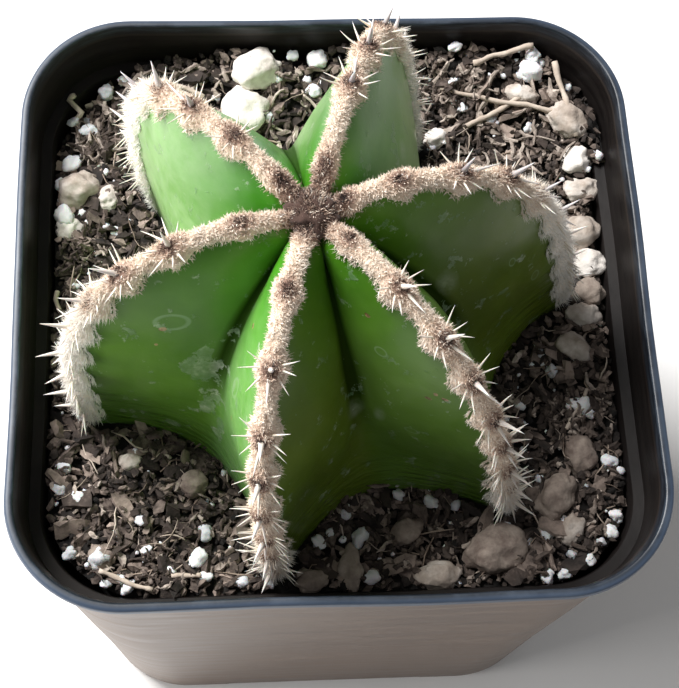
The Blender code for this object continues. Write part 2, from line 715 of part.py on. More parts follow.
def soil_height(x, y):
    """Height of the mix's surface without its stones and chips."""
    coarse = noise.noise(Vector((x, y, 0)) / SOIL_COARSE_SCALE) * SOIL_COARSE_HEIGHT
    fine = noise.noise(Vector((x, y, 5 * MM)) / SOIL_FINE_SCALE) * SOIL_FINE_HEIGHT
    heaps = 0
    for heap_x, heap_y, rise, radius in SOIL_HEAPS:
        squared = ((x - heap_x * MM) ** 2 + (y - heap_y * MM) ** 2) / (radius * MM) ** 2
        heaps += rise * MM * math.exp(-squared)
    return SOIL_LEVEL + coarse + fine + heaps


def mix_block():
    """A block under the lumpy surface, wider than the pot, which is then cut to the pot's inside."""
    bm = bmesh.new()
    bmesh.ops.create_grid(bm, x_segments=SOIL_GRID_CELLS, y_segments=SOIL_GRID_CELLS,
                          size=SOIL_GRID_SIDE / 2)
    for vertex in bm.verts:
        vertex.co.z = soil_height(vertex.co.x, vertex.co.y)
    rim = [edge for edge in bm.edges if edge.is_boundary]
    walls = bmesh.ops.extrude_edge_only(bm, edges=rim)["geom"]
    for vertex in (item for item in walls if isinstance(item, bmesh.types.BMVert)):
        vertex.co.z = SOIL_LEVEL - SOIL_BLOCK_DEPTH
    floor = [edge for edge in bm.edges if edge.is_boundary]
    bmesh.ops.contextual_create(bm, geom=floor)
    return bm


def inner_envelope(cutters):
    """The pot's inside, less the gap that the mix keeps to it."""
    step_z = POT_HEIGHT - LEDGE_DEPTH
    low = inner_inset(0) + SOIL_WALL_GAP
    high = POT_WALL + SOIL_WALL_GAP
    sections = [wall_ring(FLOOR_TOP + SOIL_WALL_GAP, low + BASE_EDGE_ROUND),
                wall_ring(FLOOR_TOP + SOIL_WALL_GAP + BASE_EDGE_ROUND, low),
                wall_ring(step_z + 2 * LEDGE_RISE, low),
                wall_ring(step_z + 3 * LEDGE_RISE, high),
                wall_ring(POT_HEIGHT, high)]
    envelope = add_object("inner_envelope", loft(sections), cutters)
    hide_cutter(envelope)
    return envelope


def lump(subdivisions, size, place, turn, tilt, seed, roughness):
    """A stone: an icosphere scaled, turned and roughened by noise."""
    bm = bmesh.new()
    bmesh.ops.create_icosphere(bm, subdivisions=subdivisions, radius=0.5)
    for vertex in bm.verts:
        vertex.co *= 1 + roughness * noise.noise(vertex.co * 3.1 + Vector((seed, 0, 0))) * 2
    matrix = (Matrix.Translation(place) @ Matrix.Rotation(turn, 4, 'Z') @ Matrix.Rotation(tilt, 4, 'X')
              @ Matrix.Diagonal((*size, 1.0)))
    bmesh.ops.transform(bm, matrix=matrix, verts=bm.verts[:])
    return bm


def add_stones(collection):
    """The larger stones at their places, sunk in the surface."""
    for number, (x, y, long, wide, turn) in enumerate(STONES):
        height = wide * STONE_HEIGHT_SHARE * MM
        z = soil_height(x * MM, y * MM) + height * (0.5 - STONE_SINK_SHARE)
        detail = 2 if long > FINE_STONE_LENGTH else 1
        bm = lump(detail, (long * MM, wide * MM, height), (x * MM, y * MM, z), math.radians(turn),
                  STONE_TILT, number * 7.3, STONE_ROUGHNESS)
        add_object(f"stone_{number}", bm, collection)


def outside_stem(x, y):
    """Whether a place lies well clear of the stem's ribs."""
    foot = Vector(STEM_FOOT)
    place = Vector((x, y))
    near, far = STEM_FREE_RADIUS
    for rib in range(len(RIB_ANGLES)):
        tip = crest_point(rib, share_at_height(0)).to_2d()
        share = min(max((place - foot).dot(tip - foot) / (tip - foot).length_squared, 0), 1)
        if (place - foot.lerp(tip, share)).length < near + (far - near) * share:
            return False
    return True


def free_places(count, spacing, draw, taken):
    """Seeded places on the surface, clear of the stem and of the pieces placed before."""
    places = []
    for _ in range(count * 60):
        x = draw.uniform(-LOOSE_REACH, LOOSE_REACH)
        y = draw.uniform(-LOOSE_REACH, LOOSE_REACH)
        in_corner = math.hypot(max(abs(x) - LOOSE_CORNER_START, 0),
                               max(abs(y) - LOOSE_CORNER_START, 0)) > LOOSE_CORNER_RADIUS
        crowded = any(math.hypot(x - a, y - b) < gap + spacing for a, b, gap in taken)
        if in_corner or crowded or not outside_stem(x, y):
            continue
        taken.append((x, y, spacing))
        places.append((x, y))
        if len(places) == count:
            break
    return places


def add_perlite(collection, draw, taken):
    """Small round grains scattered over the surface."""
    for x, y in free_places(PERLITE_COUNT, PERLITE_SPACING, draw, taken):
        size = draw.uniform(*PERLITE_SIZE)
        z = soil_height(x, y) + size * 0.12
        turn = draw.uniform(0, math.tau)
        tilt = draw.uniform(0, 1)
        bm = lump(1, (size * 1.15, size, size * 0.9), (x, y, z), turn, tilt, x / MM, PERLITE_ROUGHNESS)
        add_object("grain", bm, collection)


def add_chips(collection, draw, taken):
    """Flat bark chips that lie tilted, half sunk in the surface."""
    for x, y in free_places(CHIP_COUNT, CHIP_SPACING, draw, taken):
        bm = bmesh.new()
        bmesh.ops.create_cube(bm, size=1.0)
        for vertex in bm.verts:
            vertex.co += noise.noise_vector(vertex.co * 2 + Vector((x, y, 0)) / MM) * 0.3
        size = (draw.uniform(*CHIP_LENGTH), draw.uniform(*CHIP_WIDTH), CHIP_THICKNESS)
        turn = Matrix.Rotation(draw.uniform(0, math.tau), 4, 'Z')
        pitch = Matrix.Rotation(draw.uniform(-0.35, 0.35), 4, 'Y')
        roll = Matrix.Rotation(draw.uniform(-0.7, 0.7), 4, 'X')
        place = Matrix.Translation((x, y, soil_height(x, y) + CHIP_RISE))
        matrix = place @ turn @ pitch @ roll @ Matrix.Diagonal((*size, 1.0))
        bmesh.ops.transform(bm, matrix=matrix, verts=bm.verts[:])
        add_object("chip", bm, collection)


def make_mix(parts, cutters, clearance):
    """The potting mix with its stones, grains and chips, and a plain hole for the stem."""
    draw = random.Random(GRAIN_SEED)
    taken = [(x * MM, y * MM, long * MM * 0.45) for x, y, long, _, _ in STONES]
    repeats = new_collection("MixRepeats")
    add_stones(repeats)
    add_perlite(repeats, draw, taken)
    add_chips(repeats, draw, taken)
    mix = add_object("potting_mix", mix_block(), parts, new_material("bark_mix", MIX_FINISH))
    boolean(mix, 'UNION', 'MANIFOLD', collection=repeats)
    apply_modifiers(mix)
    remove_collection(repeats)
    boolean(mix, 'INTERSECT', 'MANIFOLD', cutter=inner_envelope(cutters))
    boolean(mix, 'DIFFERENCE', 'MANIFOLD', cutter=clearance)
    apply_modifiers(mix)
    keep_main_body(mix, COARSE_WELD)
    return mix


def main():
    """Build the four pieces."""
    clear_scene()
    noise.seed_set(NOISE_SEED)
    parts = new_collection(COLLECTION_NAME)
    cutters = new_collection(CUTTER_COLLECTION_NAME)
    make_pot(parts, cutters)
    stem = make_stem(parts)
    clearance = make_stem_clearance(stem, cutters)
    make_mix(parts, cutters, clearance)
    make_wool(parts, clearance, make_tip_clearance(cutters))


main()
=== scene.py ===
import math
import random

import bmesh
import bpy
import numpy as np
from mathutils import Matrix, Vector, noise


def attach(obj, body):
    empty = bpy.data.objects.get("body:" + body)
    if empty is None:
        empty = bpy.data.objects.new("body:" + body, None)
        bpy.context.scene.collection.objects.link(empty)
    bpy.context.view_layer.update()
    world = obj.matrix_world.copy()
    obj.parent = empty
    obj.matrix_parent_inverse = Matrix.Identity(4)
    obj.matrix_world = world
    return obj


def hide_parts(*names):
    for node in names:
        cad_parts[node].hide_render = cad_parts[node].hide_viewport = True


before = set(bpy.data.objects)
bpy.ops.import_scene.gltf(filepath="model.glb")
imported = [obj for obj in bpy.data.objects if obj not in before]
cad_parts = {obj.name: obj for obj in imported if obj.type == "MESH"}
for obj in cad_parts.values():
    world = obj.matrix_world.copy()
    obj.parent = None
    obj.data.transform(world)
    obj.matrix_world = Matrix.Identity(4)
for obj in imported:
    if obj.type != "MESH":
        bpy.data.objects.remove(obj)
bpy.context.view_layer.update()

MM = 0.001
NOISE_SEED = 3
WOOL_SEED = 21
SPINE_SEED = 8
PERLITE_SEED = 31
CHIP_SEED = 41
CRUMB_SEED = 51
GRIT_SEED = 52
STRAND_SEED = 61
SHRED_SEED = 71
noise.seed_set(NOISE_SEED)

# Pot, as in the solids
POT_SIDE = 88.9 * MM
POT_HEIGHT = 88.9 * MM
POT_CORNER_RADIUS = 15.8 * MM
POT_BASE_SIDE = 80.0 * MM
POT_BASE_CORNER_RADIUS = 15.6 * MM
POT_WALL = 1.0 * MM
LIP_OVERHANG = 0.5 * MM
LIP_WIDTH = 1.25 * MM
LIP_HEIGHT = 1.6 * MM
BASE_EDGE_ROUND = 0.9 * MM
LEDGE_Z = 79.9 * MM
LEDGE_OUTER_STEP = 0.35 * MM
LEDGE_INNER_STEP = 1.4 * MM
LEDGE_RISE = 0.4 * MM
FLOOR_TOP = 3.2 * MM
CHANNEL_WIDTH = 36.0 * MM
CHANNEL_HEIGHT = 1.5 * MM
CHANNEL_BEVEL = 1.2 * MM
DRAIN_RADIUS = 3.5 * MM
DRAIN_OFFSET = 27.0 * MM
CORNER_STEPS = 22
SIDE_STEPS = 10
WALL_STEPS = 14
# Dark nicks and a pale dot on the outside: centre and radii of each in millimetres
NICKS = (((-14.6, -42.6, 80.5), (1.2, 1.0, 0.3)), ((-33.0, -40.5, 86.0), (0.3, 3.0, 1.6)),
         ((-22.0, -43.5, 86.5), (0.3, 2.0, 1.3)))
DOTS = (((15.5, -42.6, 82.0), (0.8, 1.2, 0.5)),)

# Stem, as in the solids: profiles are (distance from the axis, height above the soil) in millimetres
SOIL_LEVEL = 78.2 * MM
STEM_FOOT = (0.8 * MM, -5.2 * MM)
STEM_LEAN = (-0.117, 0.059)
RIB_ANGLES = (12.3, 69.4, 137.3, 194.8, 253.5, 313.1)
RIB_REACH = (0.97, 1.01, 1.01, 1.04, 0.97, 0.945)
RIB_RISE = (0.7 * MM, 4.2 * MM, 2.4 * MM, -2.2 * MM, -2.5 * MM, -1.8 * MM)
RIB_RISE_RADIUS = 26.7 * MM
RIB_RISE_HEIGHT = 35.6 * MM
VALLEY_ANGLES = (41.0, 103.0, 166.0, 220.0, 281.0, 344.0)
VALLEY_REACH = (1.0, 1.22, 1.05, 1.05, 0.9, 0.98)
CREST_PROFILE = ((0, 38.9), (6.2, 41.7), (12.3, 42.4), (18.2, 41.1), (23.8, 38.4), (28.2, 33.8),
                 (31.5, 27.2), (33.5, 19.3), (34.5, 10.8), (34.9, 2.1), (34.2, -9.0))
VALLEY_PROFILE = ((0, 38.9), (3.2, 37.0), (7.9, 33.4), (12.7, 27.6), (16.5, 20.4), (18.6, 13.0),
                  (20.2, 6.4), (22.3, 0), (21.8, -9.0))
CREST_HALF_WIDTH = 0.75 * MM
CREST_ROUNDING = 0.35 * MM
CREST_TAPER_RADIUS = 5.0 * MM
FLANK_BULGE = 0.9 * MM
FOOT_HOLLOW = -1.9 * MM
FLANK_HOLLOW_SPAN = (0.45, 0.9)
FLANK_STEPS = 16
STEM_ROWS = 190
FIRST_ROW = 0.02
PROFILE_STEPS = 24
SOFTEN_STEPS = 24
RIB_FOOT_REACH = 34.2 * MM
# How olive and how pale each flank is, for the clockwise and the counterclockwise side of each rib: the olive
# is painted shade on the flanks turned away from the key light, the paleness painted light on those that face
# it
FLANK_SHADE_OLIVE = ((1.0, 0.5), (0.45, 0.05), (0.05, 0.05), (0.4, 0.5), (0.0, 0.95), (0.65, 0.8))
FLANK_LIGHT_PALE = ((0.0, 0.3), (0.55, 0.8), (0.5, 0.7), (0.3, 0.06), (0.35, 0.0), (0.08, 0.12))
# Marks on the skin: centre and radii of each in millimetres
SCABS = (((-22.6, -13.0, 107.2), (0.75, 0.9, 0.45)), ((10.1, -22.4, 105.6), (0.7, 0.6, 0.35)),
         ((10.9, -22.4, 106.9), (0.4, 0.5, 0.4)), ((12.1, -22.9, 106.6), (0.75, 0.6, 0.35)),
         ((2.4, -14.5, 113.7), (0.6, 0.6, 0.4)), ((-23.6, -13.9, 104.4), (0.35, 0.5, 0.3)),
         ((-14.4, -21.8, 98.1), (0.35, 0.5, 0.4)), ((-11.4, -14.9, 112.1), (0.35, 0.5, 0.6)),
         ((-27.5, -10.4, 103.0), (0.3, 0.4, 0.3)), ((-17.4, -9.6, 111.2), (0.3, 0.4, 0.3)))
HAZES = (((8.6, 11.0, 107.5), (0.8, 1.4, 4.6)), ((13.6, -6.4, 104.5), (1.9, 1.3, 4.0)),
         ((1.6, -20.9, 97.2), (1.5, 1.6, 3.0)), ((4.6, -21.6, 97.0), (1.0, 1.4, 2.6)),
         ((-13.8, -19.6, 104.6), (0.5, 0.9, 3.6)), ((-26.6, 9.0, 107.5), (0.9, 0.9, 2.6)),
         ((-7.0, 3.5, 112.5), (1.0, 1.0, 1.8)))
LOOPS = (((-21.4, -12.6, 108.3), (2.5, 1.7, 1.5)), ((4.2, -17.6, 109.6), (1.0, 1.0, 0.8)),
         ((-13.8, -20.1, 104.8), (0.7, 1.2, 3.2)), ((27.3, -0.9, 94.1), (0.9, 0.6, 1.4)),
         ((22.7, -2.7, 102.5), (0.7, 0.5, 1.0)), ((12.6, -24.0, 96.5), (1.2, 0.8, 0.9)),
         ((8.6, -23.6, 96.0), (1.3, 0.8, 0.8)), ((-3.6, -28.4, 99.0), (0.6, 0.8, 1.5)))
FILM = (((-18.0, -15.2, 99.5), (3.2, 3.0, 4.5)), ((-17.6, -17.6, 92.5), (2.6, 3.0, 5.0)),
        ((-16.6, -19.8, 87.0), (1.4, 2.5, 4.0)))

# Wool
# Areoles: distances down each crest from the tip, in millimetres
AREOLES = ((5.0, 12.0, 20.0, 27.0, 34.0, 40.5, 47.0, 53.5, 59.5),
           (6.0, 16.2, 22.8, 29.5, 36.0, 42.5, 49.0, 55.5, 61.0),
           (5.5, 12.7, 19.5, 25.8, 32.0, 38.5, 45.0, 51.5, 57.5),
           (9.2, 17.6, 24.6, 30.7, 37.0, 43.5, 50.0, 56.0, 61.0),
           (3.6, 12.3, 21.7, 30.1, 36.7, 44.0, 50.5, 56.5, 61.5),
           (7.5, 16.0, 23.9, 30.5, 37.7, 44.0, 50.5, 56.5, 61.5))
# Distance from the tip at which each crest's wool starts to turn white, in millimetres
WHITE_START = (31, 35, 25, 28, 56, 52)
WOOL_ROWS = 330
WOOL_COLUMNS = 19
WOOL_START = 1.5 * MM
WOOL_LOWEST = 1.2 * MM
CREST_STEPS = 400
# The wool's colours from white to nearly black, along its shade value
WOOL_COLOURS = ((0.0, (1.0, 0.98, 0.95)), (0.2, (0.97, 0.88, 0.77)), (0.4, (0.70, 0.55, 0.44)),
                (0.6, (0.30, 0.195, 0.15)), (0.8, (0.095, 0.058, 0.047)), (1.0, (0.026, 0.016, 0.014)))
# Half width, height and depth below the crest, each between the areoles and what an areole adds,
# in millimetres
WOOL_HALF_WIDTH = (1.12, 0.85)
WOOL_RISE = (0.75, 0.55)
WOOL_SKIRT = (0.7, 0.85)
AREOLE_REACH = 3.1 * MM
APEX_RISE = 1.0 * MM
TUFT_COUNT = 10000
FINE_TUFT_COUNT = 2600
FLUFF_COUNT = (4200, 4200, 4200, 4200, 900, 900)
APEX_TUFT_COUNT = 2600
SPINE_STEPS = 6

# Soil
# Heaps and hollows: x, y, rise and radius in millimetres
SOIL_HEAPS = ((-8, 41, 4.5, 13), (14, -31, -2.6, 9), (40, 6, 1.5, 8), (-30, -30, 0.8, 14),
              (28, -38, 1.2, 10), (19, 45, 5.8, 9.5), (31, 43, 4.2, 9.5), (-24, 44, 2.5, 9),
              (42, 31, 3.6, 8), (-11, 46, 2.5, 5), (5, 47, 5.5, 7.5), (46, 6, -2.6, 7))
# Stones: x, y, length and width in millimetres, and the turn in degrees
STONES = ((-9.8, 38.6, 7.8, 5.8, 25), (-11.9, 32.8, 7.6, 6.3, -10), (37.0, 30.5, 6.8, 5.0, -50),
          (38.2, 24.2, 4.6, 4.4, 0), (38.6, 19.6, 5.4, 3.7, 10), (37.6, 12.4, 6.5, 5.9, 70),
          (38.4, 7.4, 5.4, 4.2, 0), (38.0, 2.9, 5.4, 4.2, 5), (36.9, -0.9, 5.5, 3.6, 0),
          (34.9, -5.9, 5.6, 4.1, -20), (21.1, -35.6, 9.1, 6.5, 20), (13.3, -38.6, 6.3, 4.2, 0),
          (9.3, -32.0, 4.9, 3.7, 30), (30.2, -28.3, 7.2, 4.8, 55), (32.0, -33.0, 5.0, 3.0, 60),
          (34.6, -21.8, 6.2, 4.7, 80), (1.2, -37.6, 6.4, 3.4, 85), (-4.2, -39.2, 4.5, 3.0, 10),
          (-20.2, -25.2, 4.4, 3.6, 15), (-28.9, -21.6, 3.2, 2.8, 0), (-37.0, 21.0, 6.5, 5.6, 30),
          (-32.4, 19.6, 3.9, 3.3, 80), (-38.4, 15.0, 4.2, 3.3, 10), (30.6, 35.1, 5.2, 3.0, -20),
          (17.3, 29.4, 4.3, 3.1, 15), (-32.7, -35.0, 4.2, 3.4, 60))
STONE_HEIGHT_SHARE = 0.8
STONE_SINK_SHARE = 0.32
# White grains that stand out on the surface: x, y and size in millimetres
PERLITE = (
    (-39.5, 16.9, 3.6), (-32.8, -35.2, 4.0), (-33.3, 37.6, 3.0), (-0.8, 40.6, 3.2), (-4.6, 41.6, 2.6),
    (-19.7, -35.4, 2.8), (28.4, -33.4, 3.4), (-18.6, -31.8, 2.8), (-38.0, 25.8, 3.2), (-29.0, -39.0, 2.6),
    (-35.6, 31.0, 3.2), (34.8, -14.6, 3.4), (33.0, 41.4, 3.0), (31.6, 38.0, 4.4), (20.3, 41.6, 2.2),
    (38.0, -33.8, 2.2), (-27.2, -30.1, 2.2), (-13.7, -38.9, 2.2), (38.4, -23.0, 2.6), (-38.6, -25.2, 2.4),
    (-36.0, -26.5, 2.2), (-10.4, -38.8, 2.4), (31.3, -40.2, 2.2), (28.4, -40.0, 2.4), (-38.0, -22.1, 2.1),
    (-18.6, -38.0, 2.0), (-38.0, -35.4, 2.1), (31.3, -9.4, 2.4), (-32.4, -39.0, 1.8), (35.0, -38.6, 1.7),
    (-31.0, 39.6, 1.8), (25.2, -34.3, 2.0), (-40.6, 35.0, 1.9), (38.4, -31.0, 2.0), (-26.6, -34.1, 1.6),
    (36.2, -15.9, 1.8), (31.6, -36.5, 1.9), (39.6, -31.9, 1.5), (21.4, 33.4, 2.0), (25.6, 31.6, 2.4),
    (35.9, -34.8, 1.7), (-40.2, 22.4, 2.2), (22.6, -36.4, 1.6), (28.4, -25.3, 1.5), (-31.4, 14.5, 1.8),
    (-33.0, 15.4, 1.6), (34.6, 2.6, 1.8), (37.8, 36.0, 1.6), (31.4, 30.0, 2.0), (-36.4, 17.6, 1.5),
    (4.0, -38.6, 2.8), (2.6, -33.0, 3.6), (8.4, -26.6, 2.2), (13.0, -27.8, 2.4), (16.4, -28.4, 1.8),
    (-3.2, -33.6, 2.4), (0.8, -29.6, 1.8), (-8.2, 31.4, 2.0), (-1.4, 35.6, 2.4), (0.0, 37.4, 1.8))
# Clumps of matted fibre: x, y and radius in millimetres
CLUMPS = ((-34.6, 28.6, 3.4), (15.6, 37.8, 3.8), (-35.8, 10.8, 3.4), (-10.6, 30.0, 2.6), (23.0, 36.2, 3.0),
          (-34.0, -3.0, 2.6), (33.0, -16.4, 2.6), (-25.0, -36.0, 2.4), (40.0, 16.0, 2.0))
# Twigs: both ends in millimetres, with their height over the surface, and the radius
TWIGS = (((-40.6, 39.0, 2.0), (-37.3, 31.6, 0.8), 0.42), ((-33.1, -36.8, 1.0), (-25.8, -39.7, 1.4), 0.36),
         ((-23.1, -37.8, 1.0), (-19.4, -37.9, 1.2), 0.36), ((23.0, 39.4, 1.2), (32.3, 41.2, 2.4), 0.45),
         ((17.6, 36.0, 1.2), (35.6, 31.6, 1.4), 0.40), ((35.6, 39.0, 2.2), (38.0, 27.6, 1.4), 0.48),
         ((36.4, -12.4, 1.0), (32.5, -18.4, 1.0), 0.30), ((-18.0, 35.4, 1.2), (-26.0, 38.8, 1.4), 0.36),
         ((-41.0, 5.0, 1.2), (-36.0, -4.0, 1.0), 0.34), ((22.0, 30.4, 1.2), (31.0, 34.6, 1.4), 0.42))
PERLITE_SCALE = 0.85
FINE_PERLITE_COUNT = 260
CHIP_COUNT = 1500
CRUMB_COUNT = 3000
GRIT_COUNT = 2600
SHRED_COUNT = 1700
STRAND_COUNT = 260
ROOT_STEPS = 5
TWIG_STEPS = 12
TWIG_MARGIN = 0.8 * MM
# Height at which the room to the wall is taken for what lies on the surface
SURFACE_Z = 79 * MM
# Half the side of the square in which free places are drawn, in millimetres
FREE_HALF = 42
# The bed: points along each side, half its side, its gap to the wall, and its underside
BED_CELLS = 190
BED_HALF = 42.6 * MM
BED_MARGIN = 0.35 * MM
BED_FLOOR = 4.0 * MM
BED_TAPER = 0.93

# Camera, fitted to the photograph
SENSOR_WIDTH = 36
PHOTO_HEIGHT = 688
FOCAL_PIXELS = 1500.65
CAMERA_PLACE = (-0.011096, -0.084089, 0.280364)
CAMERA_TURN = (0.378295, -0.0433633, -0.0416198)


# Small tools

def collect(name):
    """An empty store of points, faces, and a tint and a shade for each point."""
    return {"name": name, "points": [], "faces": [], "tint": [], "shade": []}


def add_to(store, points, faces, tint=0.0, shade=0.0):
    """Add a small mesh to a store; tint and shade are one value or one for each point."""
    first = len(store["points"])
    store["points"].extend(points)
    store["faces"].extend(tuple(i + first for i in face) for face in faces)
    count = len(points)
    store["tint"].extend(tint if hasattr(tint, "__len__") else [tint] * count)
    store["shade"].extend(shade if hasattr(shade, "__len__") else [shade] * count)


def add_object(name, data):
    """A new object in the scene."""
    added = bpy.data.objects.new(name, data)
    bpy.context.scene.collection.objects.link(added)
    return added


def make_object(store, material, rounded, replaces=()):
    """Turn a store into an object that rides with the part."""
    mesh = bpy.data.meshes.new(store["name"])
    mesh.from_pydata([tuple(point) for point in store["points"]], [], store["faces"])
    for label in ("tint", "shade"):
        layer = mesh.attributes.new(label, 'FLOAT', 'POINT')
        layer.data.foreach_set("value", np.array(store[label], dtype=np.float32))
    if rounded:
        mesh.shade_smooth()
    mesh.materials.append(material)
    piece = add_object(store["name"], mesh)
    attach(piece, "root")
    if replaces:
        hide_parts(*replaces)
    return piece


def unit_ball(subdivisions):
    """Points and faces of an icosphere of radius 0.5."""
    bm = bmesh.new()
    bmesh.ops.create_icosphere(bm, subdivisions=subdivisions, radius=0.5)
    bm.verts.index_update()
    points = [vertex.co.copy() for vertex in bm.verts]
    faces = [tuple(vertex.index for vertex in face.verts) for face in bm.faces]
    bm.free()
    return points, faces


def unit_bar(cuts):
    """Points and faces of a closed bar, 1 long on X and 1 wide, cut into rings along its length."""
    points, faces = [], []
    for step in range(cuts + 1):
        x = step / cuts - 0.5
        points += [Vector((x, y, z)) for y, z in ((-0.5, -0.5), (0.5, -0.5), (0.5, 0.5), (-0.5, 0.5))]
    for step in range(cuts):
        a = step * 4
        for i in range(4):
            j = (i + 1) % 4
            faces.append((a + i, a + j, a + 4 + j, a + 4 + i))
    faces.append((3, 2, 1, 0))
    last = cuts * 4
    faces.append((last, last + 1, last + 2, last + 3))
    return points, faces


def tube(path, radii, sides):
    """Points and faces of a closed tube along a path, with a radius at each point of it."""
    points, faces = [], []
    side = Vector((0, 0, 1))
    for number, (centre, radius) in enumerate(zip(path, radii)):
        ahead = path[min(number + 1, len(path) - 1)] - path[max(number - 1, 0)]
        ahead.normalize()
        across = ahead.cross(side)
        if across.length < 0.1:
            across = ahead.cross(Vector((1, 0, 0)))
        across.normalize()
        side = across.cross(ahead).normalized()
        for i in range(sides):
            angle = math.tau * i / sides
            points.append(centre + (across * math.cos(angle) + side * math.sin(angle)) * radius)
    for step in range(len(path) - 1):
        a = step * sides
        for i in range(sides):
            j = (i + 1) % sides
            faces.append((a + i, a + j, a + sides + j, a + sides + i))
    faces.append(tuple(reversed(range(sides))))
    last = (len(path) - 1) * sides
    faces.append(tuple(last + i for i in range(sides)))
    return points, faces


def unit(vectors):
    """The rows of an array as unit vectors."""
    return vectors / np.linalg.norm(vectors, axis=1, keepdims=True)


def grid_faces(rows, columns, closed):
    """Quads of a grid of rows by columns; closed joins the last column to the first."""
    faces = []
    span = columns if closed else columns - 1
    for row in range(rows - 1):
        for column in range(span):
            a = row * columns + column
            b = row * columns + (column + 1) % columns
            faces.append((a, a + columns, b + columns, b))
    return faces


# Material tools

def new_material(name):
    """A material with its Principled shader."""
    material = bpy.data.materials.new(name)
    material.use_nodes = True
    return material, material.node_tree, material.node_tree.nodes["Principled BSDF"]


def set_inputs(tree, node, **inputs):
    """Set a node's inputs, or link them to sockets; they are named with _ for spaces, or i and a number."""
    for key, value in inputs.items():
        socket = node.inputs[int(key[1:]) if key[1:].isdigit() else key.replace("_", " ")]
        if isinstance(value, bpy.types.NodeSocket):
            tree.links.new(value, socket)
        else:
            socket.default_value = value


def add_node(tree, kind, settings=None, **inputs):
    """Add a node with its settings and its inputs."""
    node = tree.nodes.new(kind)
    for key, value in (settings or {}).items():
        setattr(node, key, value)
    set_inputs(tree, node, **inputs)
    return node


def place(tree):
    """The point's place in the part's own frame, in metres."""
    return add_node(tree, "ShaderNodeTexCoord").outputs["Object"]


def attribute(tree, name):
    """A value stored on the points."""
    return add_node(tree, "ShaderNodeAttribute", {"attribute_name": name}).outputs["Fac"]


def math_node(tree, operation, a, b):
    """A Math node."""
    return add_node(tree, "ShaderNodeMath", {"operation": operation}, i0=a, i1=b).outputs[0]


def times(tree, a, b):
    """Two values multiplied."""
    return math_node(tree, 'MULTIPLY', a, b)


def stretch(tree, at, scale, turn=(0, 0, 0)):
    """The place turned and scaled, so that a texture is drawn out along an axis."""
    return add_node(tree, "ShaderNodeMapping", None, Vector=at, Rotation=turn, Scale=scale).outputs[0]


def noise_at(tree, vector, size, detail=3.0, roughness=0.55):
    """Noise with features of about the given size in metres."""
    node = add_node(tree, "ShaderNodeTexNoise", None, Vector=vector, Scale=0.5 / size, Detail=detail,
                    Roughness=roughness)
    return node.outputs["Fac"]


def ramp(tree, factor, *stops):
    """Colours or grey values along a factor; a stop is (position, colour)."""
    node = add_node(tree, "ShaderNodeValToRGB", None, Fac=factor)
    elements = node.color_ramp.elements
    while len(elements) < len(stops):
        elements.new(0.5)
    for element, (position, colour) in zip(elements, stops):
        element.position = position
        element.color = (*colour, 1.0) if hasattr(colour, "__len__") else (colour, colour, colour, 1.0)
    return node.outputs["Color"]


def mix(tree, factor, a, b):
    """Mix two colours."""
    a, b = ((*colour, 1.0) if isinstance(colour, tuple) else colour for colour in (a, b))
    return add_node(tree, "ShaderNodeMix", {"data_type": 'RGBA'}, i0=factor, i6=a, i7=b).outputs[2]


def bump(tree, height, depth, strength=1.0, normal=None):
    """A Bump node with its depth in metres."""
    node = add_node(tree, "ShaderNodeBump", None, Height=height, Distance=depth, Strength=strength)
    if normal:
        tree.links.new(normal, node.inputs["Normal"])
    return node.outputs["Normal"]


def spot(tree, vector, centre, radii):
    """A mask that falls from 1 in the middle of an ellipsoid in space to 0 at its edge."""
    kind = "ShaderNodeVectorMath"
    moved = add_node(tree, kind, {"operation": 'SUBTRACT'}, i0=vector, i1=centre).outputs[0]
    scaled = add_node(tree, kind, {"operation": 'DIVIDE'}, i0=moved, i1=radii).outputs[0]
    length = add_node(tree, kind, {"operation": 'LENGTH'}, i0=scaled).outputs[1]
    return ramp(tree, length, (0.0, 1.0), (1.0, 0.0))


# Pot

def ring(half, radius, z):
    """Points of a square with round corners and divided sides, counterclockwise."""
    points = []
    flat = half - radius
    for quarter in range(4):
        turn = Matrix.Rotation(quarter * math.pi / 2, 2)
        for step in range(CORNER_STEPS + 1):
            angle = step / CORNER_STEPS * math.pi / 2
            points.append(turn @ Vector((flat + radius * math.cos(angle), flat + radius * math.sin(angle))))
        for step in range(1, SIDE_STEPS):
            points.append(turn @ Vector((flat - 2 * flat * step / SIDE_STEPS, half)))
    return [Vector((point.x, point.y, z)) for point in points]


def wall_half(share):
    """Half the width of the tapered wall at a share of its height."""
    return POT_BASE_SIDE / 2 * (1 - share) + (POT_SIDE / 2 - LIP_OVERHANG) * share


def wall_ring(z, inset):
    """A ring of the tapered wall, inset from its outer face."""
    share = z / POT_HEIGHT
    radius = POT_BASE_CORNER_RADIUS * (1 - share) + POT_CORNER_RADIUS * share
    return ring(wall_half(share) - inset, radius - inset, z)


def lip_ring(z, inset):
    """A ring of the lip, inset from its outer face."""
    return ring(POT_SIDE / 2 - inset, POT_CORNER_RADIUS - inset, z)


